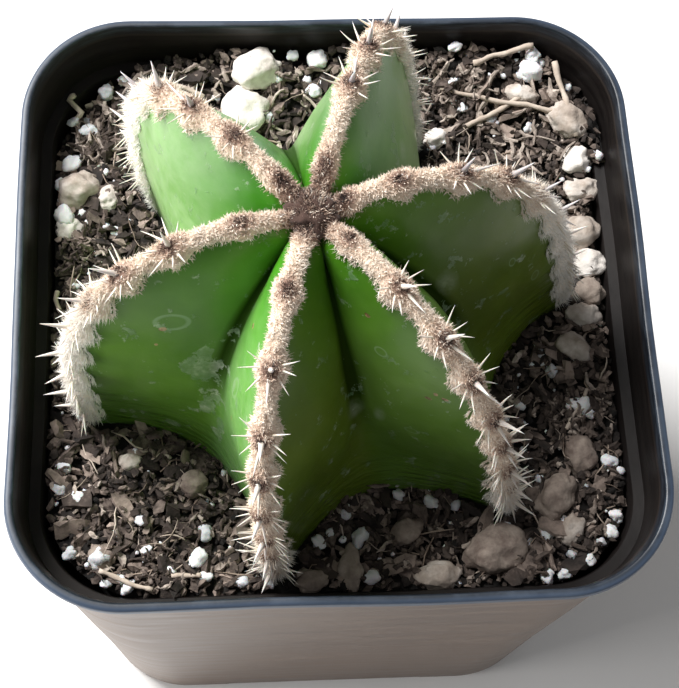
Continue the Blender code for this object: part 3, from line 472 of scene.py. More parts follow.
def pot_rings():
    """Rings from the underside, up the outside, over the rolled lip and down to the floor."""
    low = POT_WALL + LEDGE_OUTER_STEP + LEDGE_INNER_STEP
    lip_z = POT_HEIGHT - LIP_HEIGHT
    rings = [wall_ring(BASE_EDGE_ROUND * (1 - math.cos(a)), BASE_EDGE_ROUND * (1 - math.sin(a)))
             for a in (0, 0.4, 0.8, 1.2, 1.57)]
    for step in range(1, WALL_STEPS + 1):
        z = BASE_EDGE_ROUND + (LEDGE_Z - LEDGE_RISE - BASE_EDGE_ROUND) * step / WALL_STEPS
        rings.append(wall_ring(z, LEDGE_OUTER_STEP * min(step / 6, 1)))
    rings += [wall_ring(LEDGE_Z - LEDGE_RISE * 0.5, LEDGE_OUTER_STEP * 0.4), wall_ring(LEDGE_Z, 0)]
    rings += [wall_ring(LEDGE_Z + (lip_z - LEDGE_Z) * step / 4, 0) for step in range(1, 5)]
    outer = 0.45 * MM
    rings += [lip_ring(lip_z + 0.02 * MM, 0.16 * MM), lip_ring(lip_z + 0.18 * MM, 0)]
    rings += [lip_ring(POT_HEIGHT - outer + outer * math.sin(a), outer - outer * math.cos(a))
              for a in (0, 0.35, 0.7, 1.05, 1.57)]
    inner = 0.35 * MM
    rings += [lip_ring(POT_HEIGHT - inner + inner * math.cos(a), LIP_WIDTH - inner + inner * math.sin(a))
              for a in (0, 0.5, 1.0, 1.57)]
    rings += [wall_ring(POT_HEIGHT - step * MM, POT_WALL) for step in (2, 5, 8)]
    rings += [wall_ring(LEDGE_Z + LEDGE_RISE, POT_WALL + 0.1 * MM),
              wall_ring(LEDGE_Z + 0.1 * MM, low - 0.2 * MM)]
    rings += [wall_ring(z, low) for z in (LEDGE_Z - 0.2 * MM, 50 * MM, 20 * MM, FLOOR_TOP + BASE_EDGE_ROUND)]
    rings.append(wall_ring(FLOOR_TOP, low + BASE_EDGE_ROUND))
    return rings


def pot_wobble(point):
    """Thin moulded walls aren't quite flat: a small push in or out, none at the feet."""
    share = min(max((point.z - 6 * MM) / (30 * MM), 0), 1)
    outward = Vector((point.x, point.y, 0)).normalized()
    push = noise.noise(Vector((point.x, point.y, point.z * 0.5)) / (22 * MM)) - 0.12
    return point + outward * push * 0.35 * MM * share


def drain_cutter(x, y):
    """A cylinder that cuts a drain hole through the floor."""
    bm = bmesh.new()
    bmesh.ops.create_cone(bm, cap_ends=True, segments=48, radius1=DRAIN_RADIUS, radius2=DRAIN_RADIUS,
                          depth=4 * FLOOR_TOP)
    bmesh.ops.translate(bm, vec=(x, y, 0), verts=bm.verts[:])
    return bm


def channel_cutter(turn):
    """A bar with bevelled edges that cuts a drainage channel across the underside."""
    bm = bmesh.new()
    bmesh.ops.create_cube(bm, size=1.0)
    bmesh.ops.scale(bm, vec=(POT_SIDE * 1.2, CHANNEL_WIDTH, 2 * CHANNEL_HEIGHT), verts=bm.verts[:])
    bmesh.ops.rotate(bm, matrix=Matrix.Rotation(turn, 3, 'Z'), verts=bm.verts[:])
    bmesh.ops.bevel(bm, geom=bm.edges[:], offset=CHANNEL_BEVEL, segments=4, affect='EDGES', profile=0.5)
    return bm


def cut(piece, cutters):
    """Cut shapes out of a piece and drop them."""
    helpers = []
    for number, bm in enumerate(cutters):
        bmesh.ops.recalc_face_normals(bm, faces=bm.faces[:])
        mesh = bpy.data.meshes.new(f"cut_{number}")
        bm.to_mesh(mesh)
        bm.free()
        helper = add_object(f"cut_{number}", mesh)
        helpers.append(helper)
        modifier = piece.modifiers.new(f"Cut{number}", 'BOOLEAN')
        modifier.operation = 'DIFFERENCE'
        modifier.object = helper
    bpy.context.view_layer.update()
    mesh = bpy.data.meshes.new_from_object(piece.evaluated_get(bpy.context.evaluated_depsgraph_get()))
    piece.modifiers.clear()
    piece.data = mesh
    for helper in helpers:
        bpy.data.objects.remove(helper, do_unlink=True)


def pot_material():
    """Black polypropylene: a slate blue lip and taupe walls that are painted reflections, with drag lines,
    painted highlight streaks and a painted highlight line under the lip, dark inside.
    """
    material, tree, shader = new_material("moulded_plastic")
    at = place(tree)
    split = add_node(tree, "ShaderNodeSeparateXYZ", None, Vector=at)
    stretched = stretch(tree, at, (1, 1, 9))
    streaks = noise_at(tree, stretched, 9 * MM, 5.0, 0.62)
    blotches = noise_at(tree, at, 14 * MM, 3.0)
    # pale slanting streaks on the wall: painted highlight streaks
    highlight_streaks = noise_at(tree, stretch(tree, at, (1, 1, 14), (0.5, 0.3, 0.2)), 4 * MM, 4.0, 0.7)
    # taupe wall: a painted reflection of the surroundings on the black plastic, over its drag-line streaks
    wall = ramp(tree, streaks, (0.3, (0.105, 0.070, 0.052)), (0.5, (0.150, 0.106, 0.080)),
                (0.72, (0.205, 0.152, 0.118)))
    wall = mix(tree, times(tree, blotches, 0.35), wall, (0.092, 0.063, 0.049))
    wall = mix(tree, ramp(tree, highlight_streaks, (0.60, 0.0), (0.66, 0.2)), wall, (0.28, 0.22, 0.17))
    # slate blue on the lip's outer face, fading to black at its inner edge, with paler streaks: a painted
    # reflection on the black plastic
    lip_reflection = ramp(tree, attribute(tree, "tint"), (0.0, (0.050, 0.076, 0.125)), (0.35, (0.036, 0.054, 0.088)),
               (0.62, (0.014, 0.022, 0.036)), (1.0, (0.006, 0.009, 0.015)))
    edge = ramp(tree, noise_at(tree, stretched, 3 * MM, 4.0, 0.7), (0.45, 0.0), (0.62, 0.35))
    lip_reflection = mix(tree, edge, lip_reflection, (0.075, 0.10, 0.14))
    inner = ramp(tree, streaks, (0.35, (0.007, 0.0055, 0.0055)), (0.75, (0.018, 0.015, 0.014)))
    z = times(tree, split.outputs["Z"], 10.0)
    low = (POT_HEIGHT - LIP_HEIGHT) * 10
    is_lip = ramp(tree, z, (low - 0.003, 0.0), (low + 0.001, 1.0))
    # a pale line just under the lip: a painted highlight
    line = ramp(tree, z, (low - 0.008, 0.0), (low - 0.005, 0.75), (low - 0.002, 0.0))
    rim_highlight = times(tree, line, ramp(tree, blotches, (0.4, 0.2), (0.55, 1.0)))
    wall = mix(tree, rim_highlight, wall, (0.50, 0.43, 0.37))
    for table, colour in ((NICKS, (0.03, 0.02, 0.018)), (DOTS, (0.42, 0.36, 0.31))):
        wall = mix(tree, ramp(tree, marks(tree, at, table), (0.2, 0.0), (0.4, 1.0)), wall, colour)
    is_inner = attribute(tree, "shade")
    fine = bump(tree, noise_at(tree, at, 0.5 * MM, 2.0), 0.02 * MM, 0.4)
    set_inputs(tree, shader, Base_Color=mix(tree, is_inner, mix(tree, is_lip, wall, lip_reflection), inner),
               Roughness=ramp(tree, streaks, (0.3, 0.34), (0.7, 0.5)),
               Specular_IOR_Level=ramp(tree, is_inner, (0.0, 0.5), (1.0, 0.15)),
               Normal=bump(tree, streaks, 0.15 * MM, 0.5, fine))
    return material


def make_pot():
    """The moulded pot with its rolled lip, inner ledge, foot pads and drain holes."""
    store = collect("pot_shell")
    rings = pot_rings()
    lip_top = max(range(len(rings)), key=lambda number: rings[number][0].z)
    count = len(rings[0])
    faces = [tuple(reversed(face)) for face in grid_faces(len(rings), count, True)]
    faces.append(tuple(reversed(range(count))))
    last = (len(rings) - 1) * count
    faces.append(tuple(range(last, last + count)))
    points = [pot_wobble(point) for row in rings for point in row]
    shade = [1.0 if number > lip_top + 4 else 0.0 for number, row in enumerate(rings) for _ in row]
    insets = [(POT_SIDE / 2 - max(point.x for point in row)) / LIP_WIDTH for row in rings]
    tint = [min(max(inset, 0.0), 1.0) for inset, row in zip(insets, rings) for _ in row]
    add_to(store, points, faces, tint, shade)
    pot = make_object(store, pot_material(), True, ("pot",))
    drains = ((0, 0), (DRAIN_OFFSET, 0), (0, DRAIN_OFFSET), (-DRAIN_OFFSET, 0), (0, -DRAIN_OFFSET))
    cut(pot, [channel_cutter(0), channel_cutter(math.pi / 2)] + [drain_cutter(x, y) for x, y in drains])
    pot.data.set_sharp_from_angle(angle=math.radians(40))


# Stem

def dense_profile(points):
    """A smooth curve through the points: its running length, distances and heights in metres."""
    knots = np.array(points, dtype=float) * MM
    padded = np.vstack((2 * knots[0] - knots[1], knots, 2 * knots[-1] - knots[-2]))
    samples = []
    for a, b, c, d in zip(padded, padded[1:], padded[2:], padded[3:]):
        for t in np.arange(PROFILE_STEPS) / PROFILE_STEPS:
            samples.append(0.5 * (2 * b + (c - a) * t + (2 * a - 5 * b + 4 * c - d) * t ** 2
                                  + (3 * b - a - 3 * c + d) * t ** 3))
    samples.append(knots[-1])
    samples = np.array(samples)
    length = np.concatenate(([0], np.cumsum(np.hypot(*np.diff(samples, axis=0).T))))
    return length, samples[:, 0], samples[:, 1]


CREST = dense_profile(CREST_PROFILE)
VALLEY = dense_profile(VALLEY_PROFILE)
CREST_LENGTH = CREST[0][-1]


def on_profile(profile, share):
    """Distance from the axis and height at a share of the profile's length."""
    length, distances, heights = profile
    at = share * length[-1]
    return float(np.interp(at, length, distances)), float(np.interp(at, length, heights))


def on_axis(height, distance, angle):
    """The point at a distance from the leaning axis, at a height above the soil."""
    turn = math.radians(angle)
    x = STEM_FOOT[0] + STEM_LEAN[0] * height + distance * math.cos(turn)
    y = STEM_FOOT[1] + STEM_LEAN[1] * height + distance * math.sin(turn)
    return Vector((x, y, SOIL_LEVEL + height))


def crest_point(rib, share):
    """The point on the rib's crest at a share of its length from the tip."""
    distance, height = on_profile(CREST, share)
    lift = min(distance / RIB_RISE_RADIUS, 1.0) * min(max(height, 0.0) / RIB_RISE_HEIGHT, 1.0)
    return on_axis(height + RIB_RISE[rib] * lift, distance * RIB_REACH[rib], RIB_ANGLES[rib])


def crest_frame(rib, share):
    """The crest's point, with unit vectors outward, down along the crest and across it."""
    ahead = crest_point(rib, min(share + 0.01, 1.0))
    behind = crest_point(rib, max(share - 0.01, 0.0))
    along = (ahead - behind).normalized()
    turn = math.radians(RIB_ANGLES[rib])
    across = Vector((-math.sin(turn), math.cos(turn), 0))
    return crest_point(rib, share), along.cross(across).normalized(), along, across


def valley_point(valley, share):
    """The point in the valley that follows the rib of the same number."""
    distance, height = on_profile(VALLEY, share)
    return on_axis(height, distance * VALLEY_REACH[valley], VALLEY_ANGLES[valley])


def flank_bulge(share):
    """How far a flank stands out from a plane: out at the top, in at the foot."""
    start, end = FLANK_HOLLOW_SPAN
    blend = min(max((share - start) / (end - start), 0.0), 1.0)
    blend = blend * blend * (3 - 2 * blend)
    return FLANK_BULGE * (1 - blend) + FOOT_HOLLOW * blend


def flank_points(rib, side, share):
    """Points from the crest's shoulder to the valley on one side of a rib, valley left out."""
    crest, outward, _, across = crest_frame(rib, share)
    taper = min(on_profile(CREST, share)[0] / CREST_TAPER_RADIUS, 1.0)
    shoulder = crest + side * across * CREST_HALF_WIDTH * taper - outward * CREST_ROUNDING * taper
    valley = valley_point(rib if side > 0 else (rib - 1) % 6, share)
    bulge = flank_bulge(share) * taper
    points = []
    for step in range(FLANK_STEPS):
        part = step / FLANK_STEPS
        points.append(shoulder.lerp(valley, part) + side * across * bulge * math.sin(math.pi * part))
    return points


def stem_row(share):
    """The star of points round the stem at a share of the way from the tip to the foot."""
    points = []
    for rib in range(6):
        points += reversed(flank_points(rib, -1, share))
        points.append(crest_point(rib, share))
        points += flank_points(rib, 1, share)
        points.append(valley_point(rib, share))
    return points


def soften(rows, shares):
    """Round the valleys: hardly near the tip, widely near the foot."""
    grid = np.array([[tuple(point) for point in row] for row in rows])
    columns = grid.shape[1]
    at = np.arange(columns) % (2 * FLANK_STEPS + 2)
    weight = np.clip((np.abs(at - FLANK_STEPS) - 2) / 4, 0, 1)
    reach = np.clip((np.array(shares) - 0.58) / 0.3, 0, 1)
    for step in range(SOFTEN_STEPS):
        wanted = 1.5 + reach * 22 > step
        pull = 0.5 * (np.roll(grid, 1, axis=1) + np.roll(grid, -1, axis=1)) - grid
        grid = grid + pull * 0.5 * weight[None, :, None] * wanted[:, None, None]
    return grid


def flank_values(table):
    """One value for each column of the stem's grid, blended where two flanks meet."""
    values = []
    for clockwise, counter in table:
        values += [clockwise] * (FLANK_STEPS + 1) + [counter] * (FLANK_STEPS + 1)
    values = np.array(values)
    for _ in range(2):
        values = (np.roll(values, 1) + 2 * values + np.roll(values, -1)) / 4
    return values


def marks(tree, at, table, outline=False):
    """A mask of small marks on a surface, filled or only their outlines."""
    mask = 0.0
    for centre, radii in table:
        inside = spot(tree, at, [c * MM for c in centre], [r * MM for r in radii])
        if outline:
            inside = ramp(tree, inside, (0.0, 0.0), (0.1, 1.0), (0.24, 0.75), (0.36, 0.0))
        mask = math_node(tree, 'MAXIMUM', mask, inside)
    return mask


def add_marks(tree, at, colour):
    """The skin's colour under patches of haze, a shred of dry film, blister outlines and tan scabs.

    The film's mask comes back too, for the relief.
    """
    ragged = times(tree, noise_at(tree, at, 0.9 * MM, 4.0, 0.65), 0.5)
    torn = times(tree, noise_at(tree, at, 1.5 * MM, 5.0, 0.7), 3.0)
    film = math_node(tree, 'SUBTRACT', math_node(tree, 'ADD', marks(tree, at, FILM), torn), 1.5)
    film = ramp(tree, film, (0.30, 0.0), (0.40, 0.55), (0.7, 0.3), (0.95, 0.4))
    streaks = noise_at(tree, at, 1.4 * MM, 3.0, 0.7)
    film_colour = ramp(tree, streaks, (0.35, (0.13, 0.24, 0.12)), (0.55, (0.30, 0.40, 0.27)),
                       (0.65, (0.55, 0.62, 0.50)))
    colour = mix(tree, film, colour, film_colour)
    haze = times(tree, marks(tree, at, HAZES), ramp(tree, streaks, (0.35, 0.15), (0.6, 0.75)))
    colour = mix(tree, haze, colour, (0.42, 0.50, 0.36))
    colour = mix(tree, times(tree, marks(tree, at, LOOPS, True), 0.5), colour, (0.30, 0.44, 0.26))
    scab = math_node(tree, 'ADD', marks(tree, at, SCABS), times(tree, ragged, 0.5))
    scab = ramp(tree, scab, (0.36, 0.0), (0.44, 0.9))
    brown = ramp(tree, noise_at(tree, at, 0.4 * MM), (0.4, (0.10, 0.045, 0.02)), (0.6, (0.48, 0.32, 0.18)))
    return mix(tree, scab, colour, brown), film


def skin_relief(point):
    """Slight unevenness of the skin, in metres."""
    broad = noise.noise(point / (9 * MM)) * 0.22 * MM
    fine = noise.noise(point / (2.2 * MM)) * 0.035 * MM
    return broad + fine


def skin_material():
    """Waxy skin: bright green, with olive as painted shade on the flanks turned from the light and mint as
    painted light on the lit ones, painted shade in the creases and under the wool, marks, wrinkles at the
    foot and a gloss.
    """
    material, tree, shader = new_material("green_skin")
    at = place(tree)
    broad = noise_at(tree, at, 7 * MM, 3.0)
    fine = noise_at(tree, at, 1.0 * MM, 4.0, 0.6)
    green = ramp(tree, broad, (0.3, (0.026, 0.175, 0.006)), (0.55, (0.052, 0.25, 0.010)),
                 (0.75, (0.10, 0.33, 0.028)))
    # olive: painted shade, the duller green of the flanks turned away from the key light
    shaded_olive = ramp(tree, broad, (0.3, (0.080, 0.120, 0.005)), (0.55, (0.115, 0.165, 0.009)),
                 (0.75, (0.15, 0.23, 0.02)))
    # mint: painted light, the pale sheen of the flanks that face the key light
    lit_mint = ramp(tree, fine, (0.35, (0.30, 0.50, 0.19)), (0.65, (0.42, 0.60, 0.31)))
    share, to_valley = attribute(tree, "shade"), attribute(tree, "tint")
    grown = ramp(tree, share, (0.12, 0.0), (0.42, 1.0))
    is_shaded_olive = times(tree, attribute(tree, "shaded_olive"), ramp(tree, grown, (0.0, 0.45), (1.0, 1.0)))
    colour = mix(tree, is_shaded_olive, green, shaded_olive)
    colour = mix(tree, times(tree, attribute(tree, "lit_pale"), grown), colour, lit_mint)
    colour = mix(tree, times(tree, fine, 0.18), colour, (0.12, 0.27, 0.04))
    # painted shadow of the wool band: darker green along the crest
    wool_band_shadow = ramp(tree, to_valley, (0.0, 0.55), (0.25, 0.0))
    colour = mix(tree, times(tree, wool_band_shadow, 0.5), colour, (0.02, 0.09, 0.006))
    # painted shade: near black in the valley creases towards the tip, where the gloss is also dimmed
    crease_shade = times(tree, ramp(tree, to_valley, (0.91, 0.0), (1.0, 1.0)),
                   ramp(tree, share, (0.45, 0.85), (0.62, 0.0)))
    colour = mix(tree, crease_shade, colour, (0.006, 0.014, 0.002))
    colour, film = add_marks(tree, at, colour)
    low = ramp(tree, share, (0.66, 0.0), (0.80, 1.0))
    wrinkles = times(tree, noise_at(tree, stretch(tree, at, (0.35, 0.35, 2.2)), 1.1 * MM, 2.0, 0.5), low)
    normal = bump(tree, wrinkles, 0.7 * MM, 0.85, bump(tree, fine, 0.14 * MM, 0.35))
    set_inputs(tree, shader, Base_Color=colour, Roughness=ramp(tree, fine, (0.3, 0.28), (0.7, 0.42)),
               Specular_IOR_Level=ramp(tree, crease_shade, (0.0, 0.34), (0.7, 0.0)),
               Subsurface_Weight=0.12, Subsurface_Radius=(0.6, 1.0, 0.25), Subsurface_Scale=1.4 * MM,
               Coat_Weight=ramp(tree, crease_shade, (0.0, 0.10), (0.5, 0.0)), Coat_Roughness=0.22,
               Normal=bump(tree, film, 0.12 * MM, 0.6, normal))
    return material


def add_column_values(piece, name, values, rows):
    """Store one value for each column of a grid on its points, and 0 on the points after it."""
    layer = piece.data.attributes.new(name, 'FLOAT', 'POINT')
    full = np.zeros(len(piece.data.vertices), dtype=np.float32)
    full[:rows * len(values)] = np.tile(values, rows)
    layer.data.foreach_set("value", full)


def make_stem():
    """The six-ribbed green body."""
    shares = [FIRST_ROW + (1 - FIRST_ROW) * (row / (STEM_ROWS - 1)) for row in range(STEM_ROWS)]
    grid = soften([stem_row(share) for share in shares], shares)
    rows, columns, _ = grid.shape
    across = np.roll(grid, -1, axis=1) - np.roll(grid, 1, axis=1)
    down = np.gradient(grid, axis=0)
    normal = np.cross(down, across)
    normal /= np.maximum(np.linalg.norm(normal, axis=2, keepdims=True), 1e-12)
    points = []
    for row in range(rows):
        for column in range(columns):
            point = Vector(grid[row, column])
            points.append(point + Vector(normal[row, column]) * skin_relief(point))
    store = collect("stem_skin")
    faces = grid_faces(rows, columns, True)
    tip = len(points)
    points.append(on_axis(CREST[2][0], 0, 0))
    faces += [(tip, i, (i + 1) % columns) for i in range(columns)]
    faces.append(tuple(range((rows - 1) * columns, rows * columns))[::-1])
    part = [abs(i % (2 * FLANK_STEPS + 2) - FLANK_STEPS) / FLANK_STEPS for i in range(columns)]
    add_to(store, points, faces, [part[i] for _ in range(rows) for i in range(columns)] + [0.0],
           [share for share in shares for _ in range(columns)] + [0.0])
    stem = make_object(store, skin_material(), True, ("cactus_stem",))
    # painted shade and painted light: one olive and one pale value for each flank column
    add_column_values(stem, "shaded_olive", flank_values(FLANK_SHADE_OLIVE), rows)
    add_column_values(stem, "lit_pale", flank_values(FLANK_LIGHT_PALE), rows)


# Wool and spines

def share_at_height(height):
    """Share of the crest's length at which it passes the height on its way down."""
    length, _, heights = CREST
    return float(length[np.nonzero(heights > height)[0][-1]] / length[-1])


def ease(value, low, high):
    """0 below low and 1 above high, with an eased slope between them."""
    part = np.clip((value - low) / (high - low), 0, 1)
    return part * part * (3 - 2 * part)


def crest_table(rib):
    """The crest's points and its outward, along and across directions at even steps."""
    rows = [crest_frame(rib, step / CREST_STEPS) for step in range(CREST_STEPS + 1)]
    return [np.array([tuple(row[i]) for row in rows]) for i in range(4)]


CRESTS = [crest_table(rib) for rib in range(6)]


def crest_at(rib, at):
    """Crest points and their directions at distances from the tip."""
    index = np.clip(at / CREST_LENGTH, 0, 0.9999) * CREST_STEPS
    low = index.astype(int)
    part = (index - low)[:, None]
    return [table[low] * (1 - part) + table[low + 1] * part for table in CRESTS[rib]]


def to_areole(rib, at):
    """Distance along the crest from each place to the nearest areole."""
    return np.abs(at[:, None] - np.array(AREOLES[rib])[None, :] * MM).min(axis=1)


def noise_at_points(points, size, seed=0.0):
    """A noise value at each point, with features of the given size."""
    shift = Vector((seed, seed * 0.7, 0))
    return np.array([noise.noise(Vector(point) / size + shift) for point in points])


def wool_surface(rib, at, angle):
    """Points on the band's arch and their directions; the angle runs from 0 to pi across it."""
    crest, outward, along, across = crest_at(rib, at)
    swell = 0.5 + 0.5 * np.cos(math.pi * np.minimum(to_areole(rib, at) / AREOLE_REACH, 1))
    swell = swell * (0.45 + 0.55 * ease(at, 6 * MM, 16 * MM))
    half, rise, skirt = (((least + more * swell) * MM)[:, None]
                         for least, more in (WOOL_HALF_WIDTH, WOOL_RISE, WOOL_SKIRT))
    cosine, sine = np.cos(angle)[:, None], np.sin(angle)[:, None]
    points = crest + across * cosine * half + outward * (sine * (rise + skirt) - skirt)
    direction = unit(across * cosine + outward * (sine + 0.15))
    lumps = noise_at_points(points, 1.0 * MM) * 0.24 * MM + noise_at_points(points, 0.42 * MM, 7) * 0.16 * MM
    return points + direction * lumps[:, None], direction, along, across


def brownness(rib, at, angle):
    """The wool's shade: cream, brown in the middle of the areoles and at the tip, white far down."""
    nearest = to_areole(rib, at)
    off = np.abs(angle - math.pi / 2)
    middle = np.exp(-(nearest / (2.1 * MM)) ** 2 - (off / 0.85) ** 2)
    core = np.exp(-(nearest / (0.8 * MM)) ** 2 - (off / 0.45) ** 2)
    tip = 1 - ease(at, 1.5 * MM, 7.0 * MM)
    white = ease(at, WHITE_START[rib] * MM, (WHITE_START[rib] + 11) * MM)
    return 0.22 - 0.20 * white + (1 - 0.7 * white) * (0.28 * middle + 0.26 * core) + 0.34 * tip


def wool_material():
    """Felted wool, coloured by its shade value from white over cream and tan to dark brown."""
    material, tree, shader = new_material("felted_wool")
    at = place(tree)
    fleck = noise_at(tree, at, 0.35 * MM, 3.0, 0.6)
    value = math_node(tree, 'ADD', attribute(tree, "shade"), times(tree, fleck, 0.22))
    value = math_node(tree, 'SUBTRACT', value, 0.11)
    set_inputs(tree, shader, Base_Color=ramp(tree, value, *WOOL_COLOURS), Roughness=0.95,
               Specular_IOR_Level=0.15, Sheen_Weight=0.2,
               Normal=bump(tree, noise_at(tree, at, 0.2 * MM, 3.0), 0.1 * MM, 0.6))
    return material


def add_tufts(store, roots, headings, lengths, radii, shades, draw):
    """Three-sided pointed tufts, added all at once."""
    count = len(roots)
    side = unit(np.cross(headings, draw.normal(size=(count, 3))))
    other = np.cross(headings, side)
    points = np.empty((count, 4, 3))
    for corner, turn in enumerate((0.0, 2.0944, 4.1888)):
        points[:, corner] = roots + (side * math.cos(turn) + other * math.sin(turn)) * radii[:, None]
    points[:, 3] = roots + headings * lengths[:, None]
    base = len(store["points"]) + 4 * np.arange(count)[:, None]
    for face in ((0, 1, 3), (1, 2, 3), (2, 0, 3)):
        store["faces"].extend(map(tuple, (base + np.array(face)).tolist()))
    store["points"].extend(map(tuple, points.reshape(-1, 3).tolist()))
    store["tint"].extend([0.0] * (4 * count))
    store["shade"].extend(np.repeat(shades, 4).tolist())


def add_band_tufts(store, rib, count, draw, length, radius, stand, whitest=False):
    """Tufts all over one band; stand is how upright they are. The whitest grow far down only."""
    end = share_at_height(WOOL_LOWEST) * CREST_LENGTH
    start = WHITE_START[rib] * MM if whitest else WOOL_START
    at = draw.uniform(start, end, count)
    angle = np.abs(draw.normal(0, 1.1, count)) * draw.choice((-1, 1), count) + math.pi / 2
    angle = np.clip(angle, -0.25, math.pi + 0.25)
    root, direction, along, across = wool_surface(rib, at, angle)
    heading = unit(direction * stand + along * draw.normal(0, 0.8, (count, 1))
                   + across * draw.normal(0, 0.6, (count, 1)))
    shade = brownness(rib, at, angle)
    scatter = draw.normal(0, 1, count) * (0.05 + 0.5 * np.clip(shade - 0.24, 0, 0.4))
    shade = np.clip(shade + scatter, 0, 1)
    if whitest:
        shade = shade * 0.4
    lengths = draw.uniform(*length, count) * MM
    radii = draw.uniform(*radius, count) * MM
    add_tufts(store, root - direction * 0.12 * MM, heading, lengths, radii, shade, draw)


def make_wool(material):
    """The felt under the tufts: a lumpy band along each crest, darker than the tufts as painted shade between
    them, and a low pad at the tip.
    """
    store = collect("wool_felt")
    end = share_at_height(WOOL_LOWEST) * CREST_LENGTH
    at = np.repeat(np.linspace(WOOL_START, end, WOOL_ROWS), WOOL_COLUMNS)
    angle = np.tile(np.linspace(0, math.pi, WOOL_COLUMNS), WOOL_ROWS)
    share = np.repeat(np.arange(WOOL_ROWS), WOOL_COLUMNS) / (WOOL_ROWS - 1)
    close = np.sqrt(np.clip(1 - share ** 40, 0.02, 1))
    for rib in range(6):
        points = wool_surface(rib, at, angle)[0]
        crest = crest_at(rib, at)[0]
        points = crest + (points - crest) * close[:, None]
        # painted shade: the felt a little darker than the tufts, for the gaps between them
        shades = np.clip(brownness(rib, at, angle) + 0.12, 0, 1)
        add_to(store, points.tolist(), grid_faces(WOOL_ROWS, WOOL_COLUMNS, True), 0.0, shades.tolist())
    balls, faces = unit_ball(4)
    centre = on_axis(CREST[2][0] + APEX_RISE, 0, 0)
    points = []
    for ball in balls:
        size = 1 + 0.3 * noise.noise(ball * 6)
        points.append(centre + Vector((ball.x * 6.4, ball.y * 6.4, ball.z * 4.0)) * MM * size)
    add_to(store, points, faces, 0.0, 0.85)
    make_object(store, material, True, ("areole_wool",))


def make_fibres(material):
    """Short tangled tufts all over the bands, longer white ones far down, dark ones at the tip."""
    draw = np.random.default_rng(WOOL_SEED)
    for part in range(3):
        store = collect(f"wool_fibres_{part}")
        for rib in (2 * part, 2 * part + 1):
            add_band_tufts(store, rib, TUFT_COUNT, draw, (0.3, 0.75), (0.08, 0.16), 0.7)
            add_band_tufts(store, rib, FINE_TUFT_COUNT, draw, (0.6, 1.05), (0.03, 0.055), 1.0)
            add_band_tufts(store, rib, FLUFF_COUNT[rib], draw, (0.8, 1.6), (0.035, 0.06), 1.2, True)
        make_object(store, material, False)
    store = collect("apex_fibres")
    count = APEX_TUFT_COUNT
    ball = draw.normal(size=(count, 3))
    ball[:, 2] = np.abs(ball[:, 2])
    ball = unit(ball)
    centre = np.array(tuple(on_axis(CREST[2][0] + APEX_RISE, 0, 0)))
    root = centre + ball * np.array((2.7, 2.7, 1.8)) * MM
    heading = unit(ball + draw.normal(0, 0.6, (count, 3)))
    shade = np.clip(draw.normal(0.62, 0.25, count), 0.15, 1)
    lengths, radii = draw.uniform(0.4, 1.0, count) * MM, draw.uniform(0.07, 0.13, count) * MM
    add_tufts(store, root, heading, lengths, radii, shade, draw)
    make_object(store, material, False)


def spine_material():
    """Horny spines: ivory, or lavender grey where tint is high, with paler tips."""
    material, tree, shader = new_material("spine_horn")
    along = attribute(tree, "shade")
    ivory = ramp(tree, along, (0.0, (0.55, 0.40, 0.28)), (0.2, (0.88, 0.80, 0.68)), (1.0, (0.95, 0.92, 0.86)))
    grey = ramp(tree, along, (0.0, (0.16, 0.12, 0.11)), (0.3, (0.36, 0.33, 0.35)), (0.7, (0.58, 0.56, 0.60)),
                (1.0, (0.85, 0.84, 0.85)))
    colour = mix(tree, attribute(tree, "tint"), ivory, grey)
    flecks = times(tree, noise_at(tree, place(tree), 0.5 * MM), 0.2)
    set_inputs(tree, shader, Base_Color=mix(tree, flecks, colour, (0.45, 0.38, 0.33)), Roughness=0.38,
               Subsurface_Weight=0.1, Subsurface_Scale=0.4 * MM)
    return material


def add_spine(store, root, direction, length, radius, sag, tint, sides):
    """One tapering spine, sunk at its root and curved a little."""
    path, radii = [], []
    for step in range(SPINE_STEPS + 1):
        t = step / SPINE_STEPS
        path.append(root + direction * ((length + 0.5 * MM) * t - 0.5 * MM) + sag * t * t * length)
        radii.append(radius * (1 - t) ** 0.85 + 0.012 * MM)
    points, faces = tube(path, radii, sides)
    shades = [step / SPINE_STEPS for step in range(SPINE_STEPS + 1) for _ in range(sides)]
    add_to(store, points, faces, tint, shades)


def add_radials(store, crest, outward, along, across, grown, low, draw):
    """Pale spines that fan out to both sides of an areole; more of them far down."""
    for side in (-1, 1):
        count = 3 + round(2.4 * low)
        for number in range(count):
            fan = -1.0 + 2.0 * (number + 0.5) / count + draw.uniform(-0.2, 0.2)
            heading = (across * side * math.cos(fan) + along * (math.sin(fan) + 0.15)
                       + outward * draw.uniform(0.08, 0.5)).normalized()
            root = (crest + outward * 0.45 * MM + across * side * draw.uniform(0.8, 1.3) * MM
                    + along * fan * 1.2 * MM)
            length = (draw.uniform(2.1, 3.1) + 0.4 * low) * (0.55 + 0.45 * grown) * MM
            sag = outward * draw.uniform(-0.08, 0.15) + along * draw.uniform(-0.1, 0.15)
            add_spine(store, root, heading, length, draw.uniform(0.17, 0.235) * MM, sag, 0.0, 6)


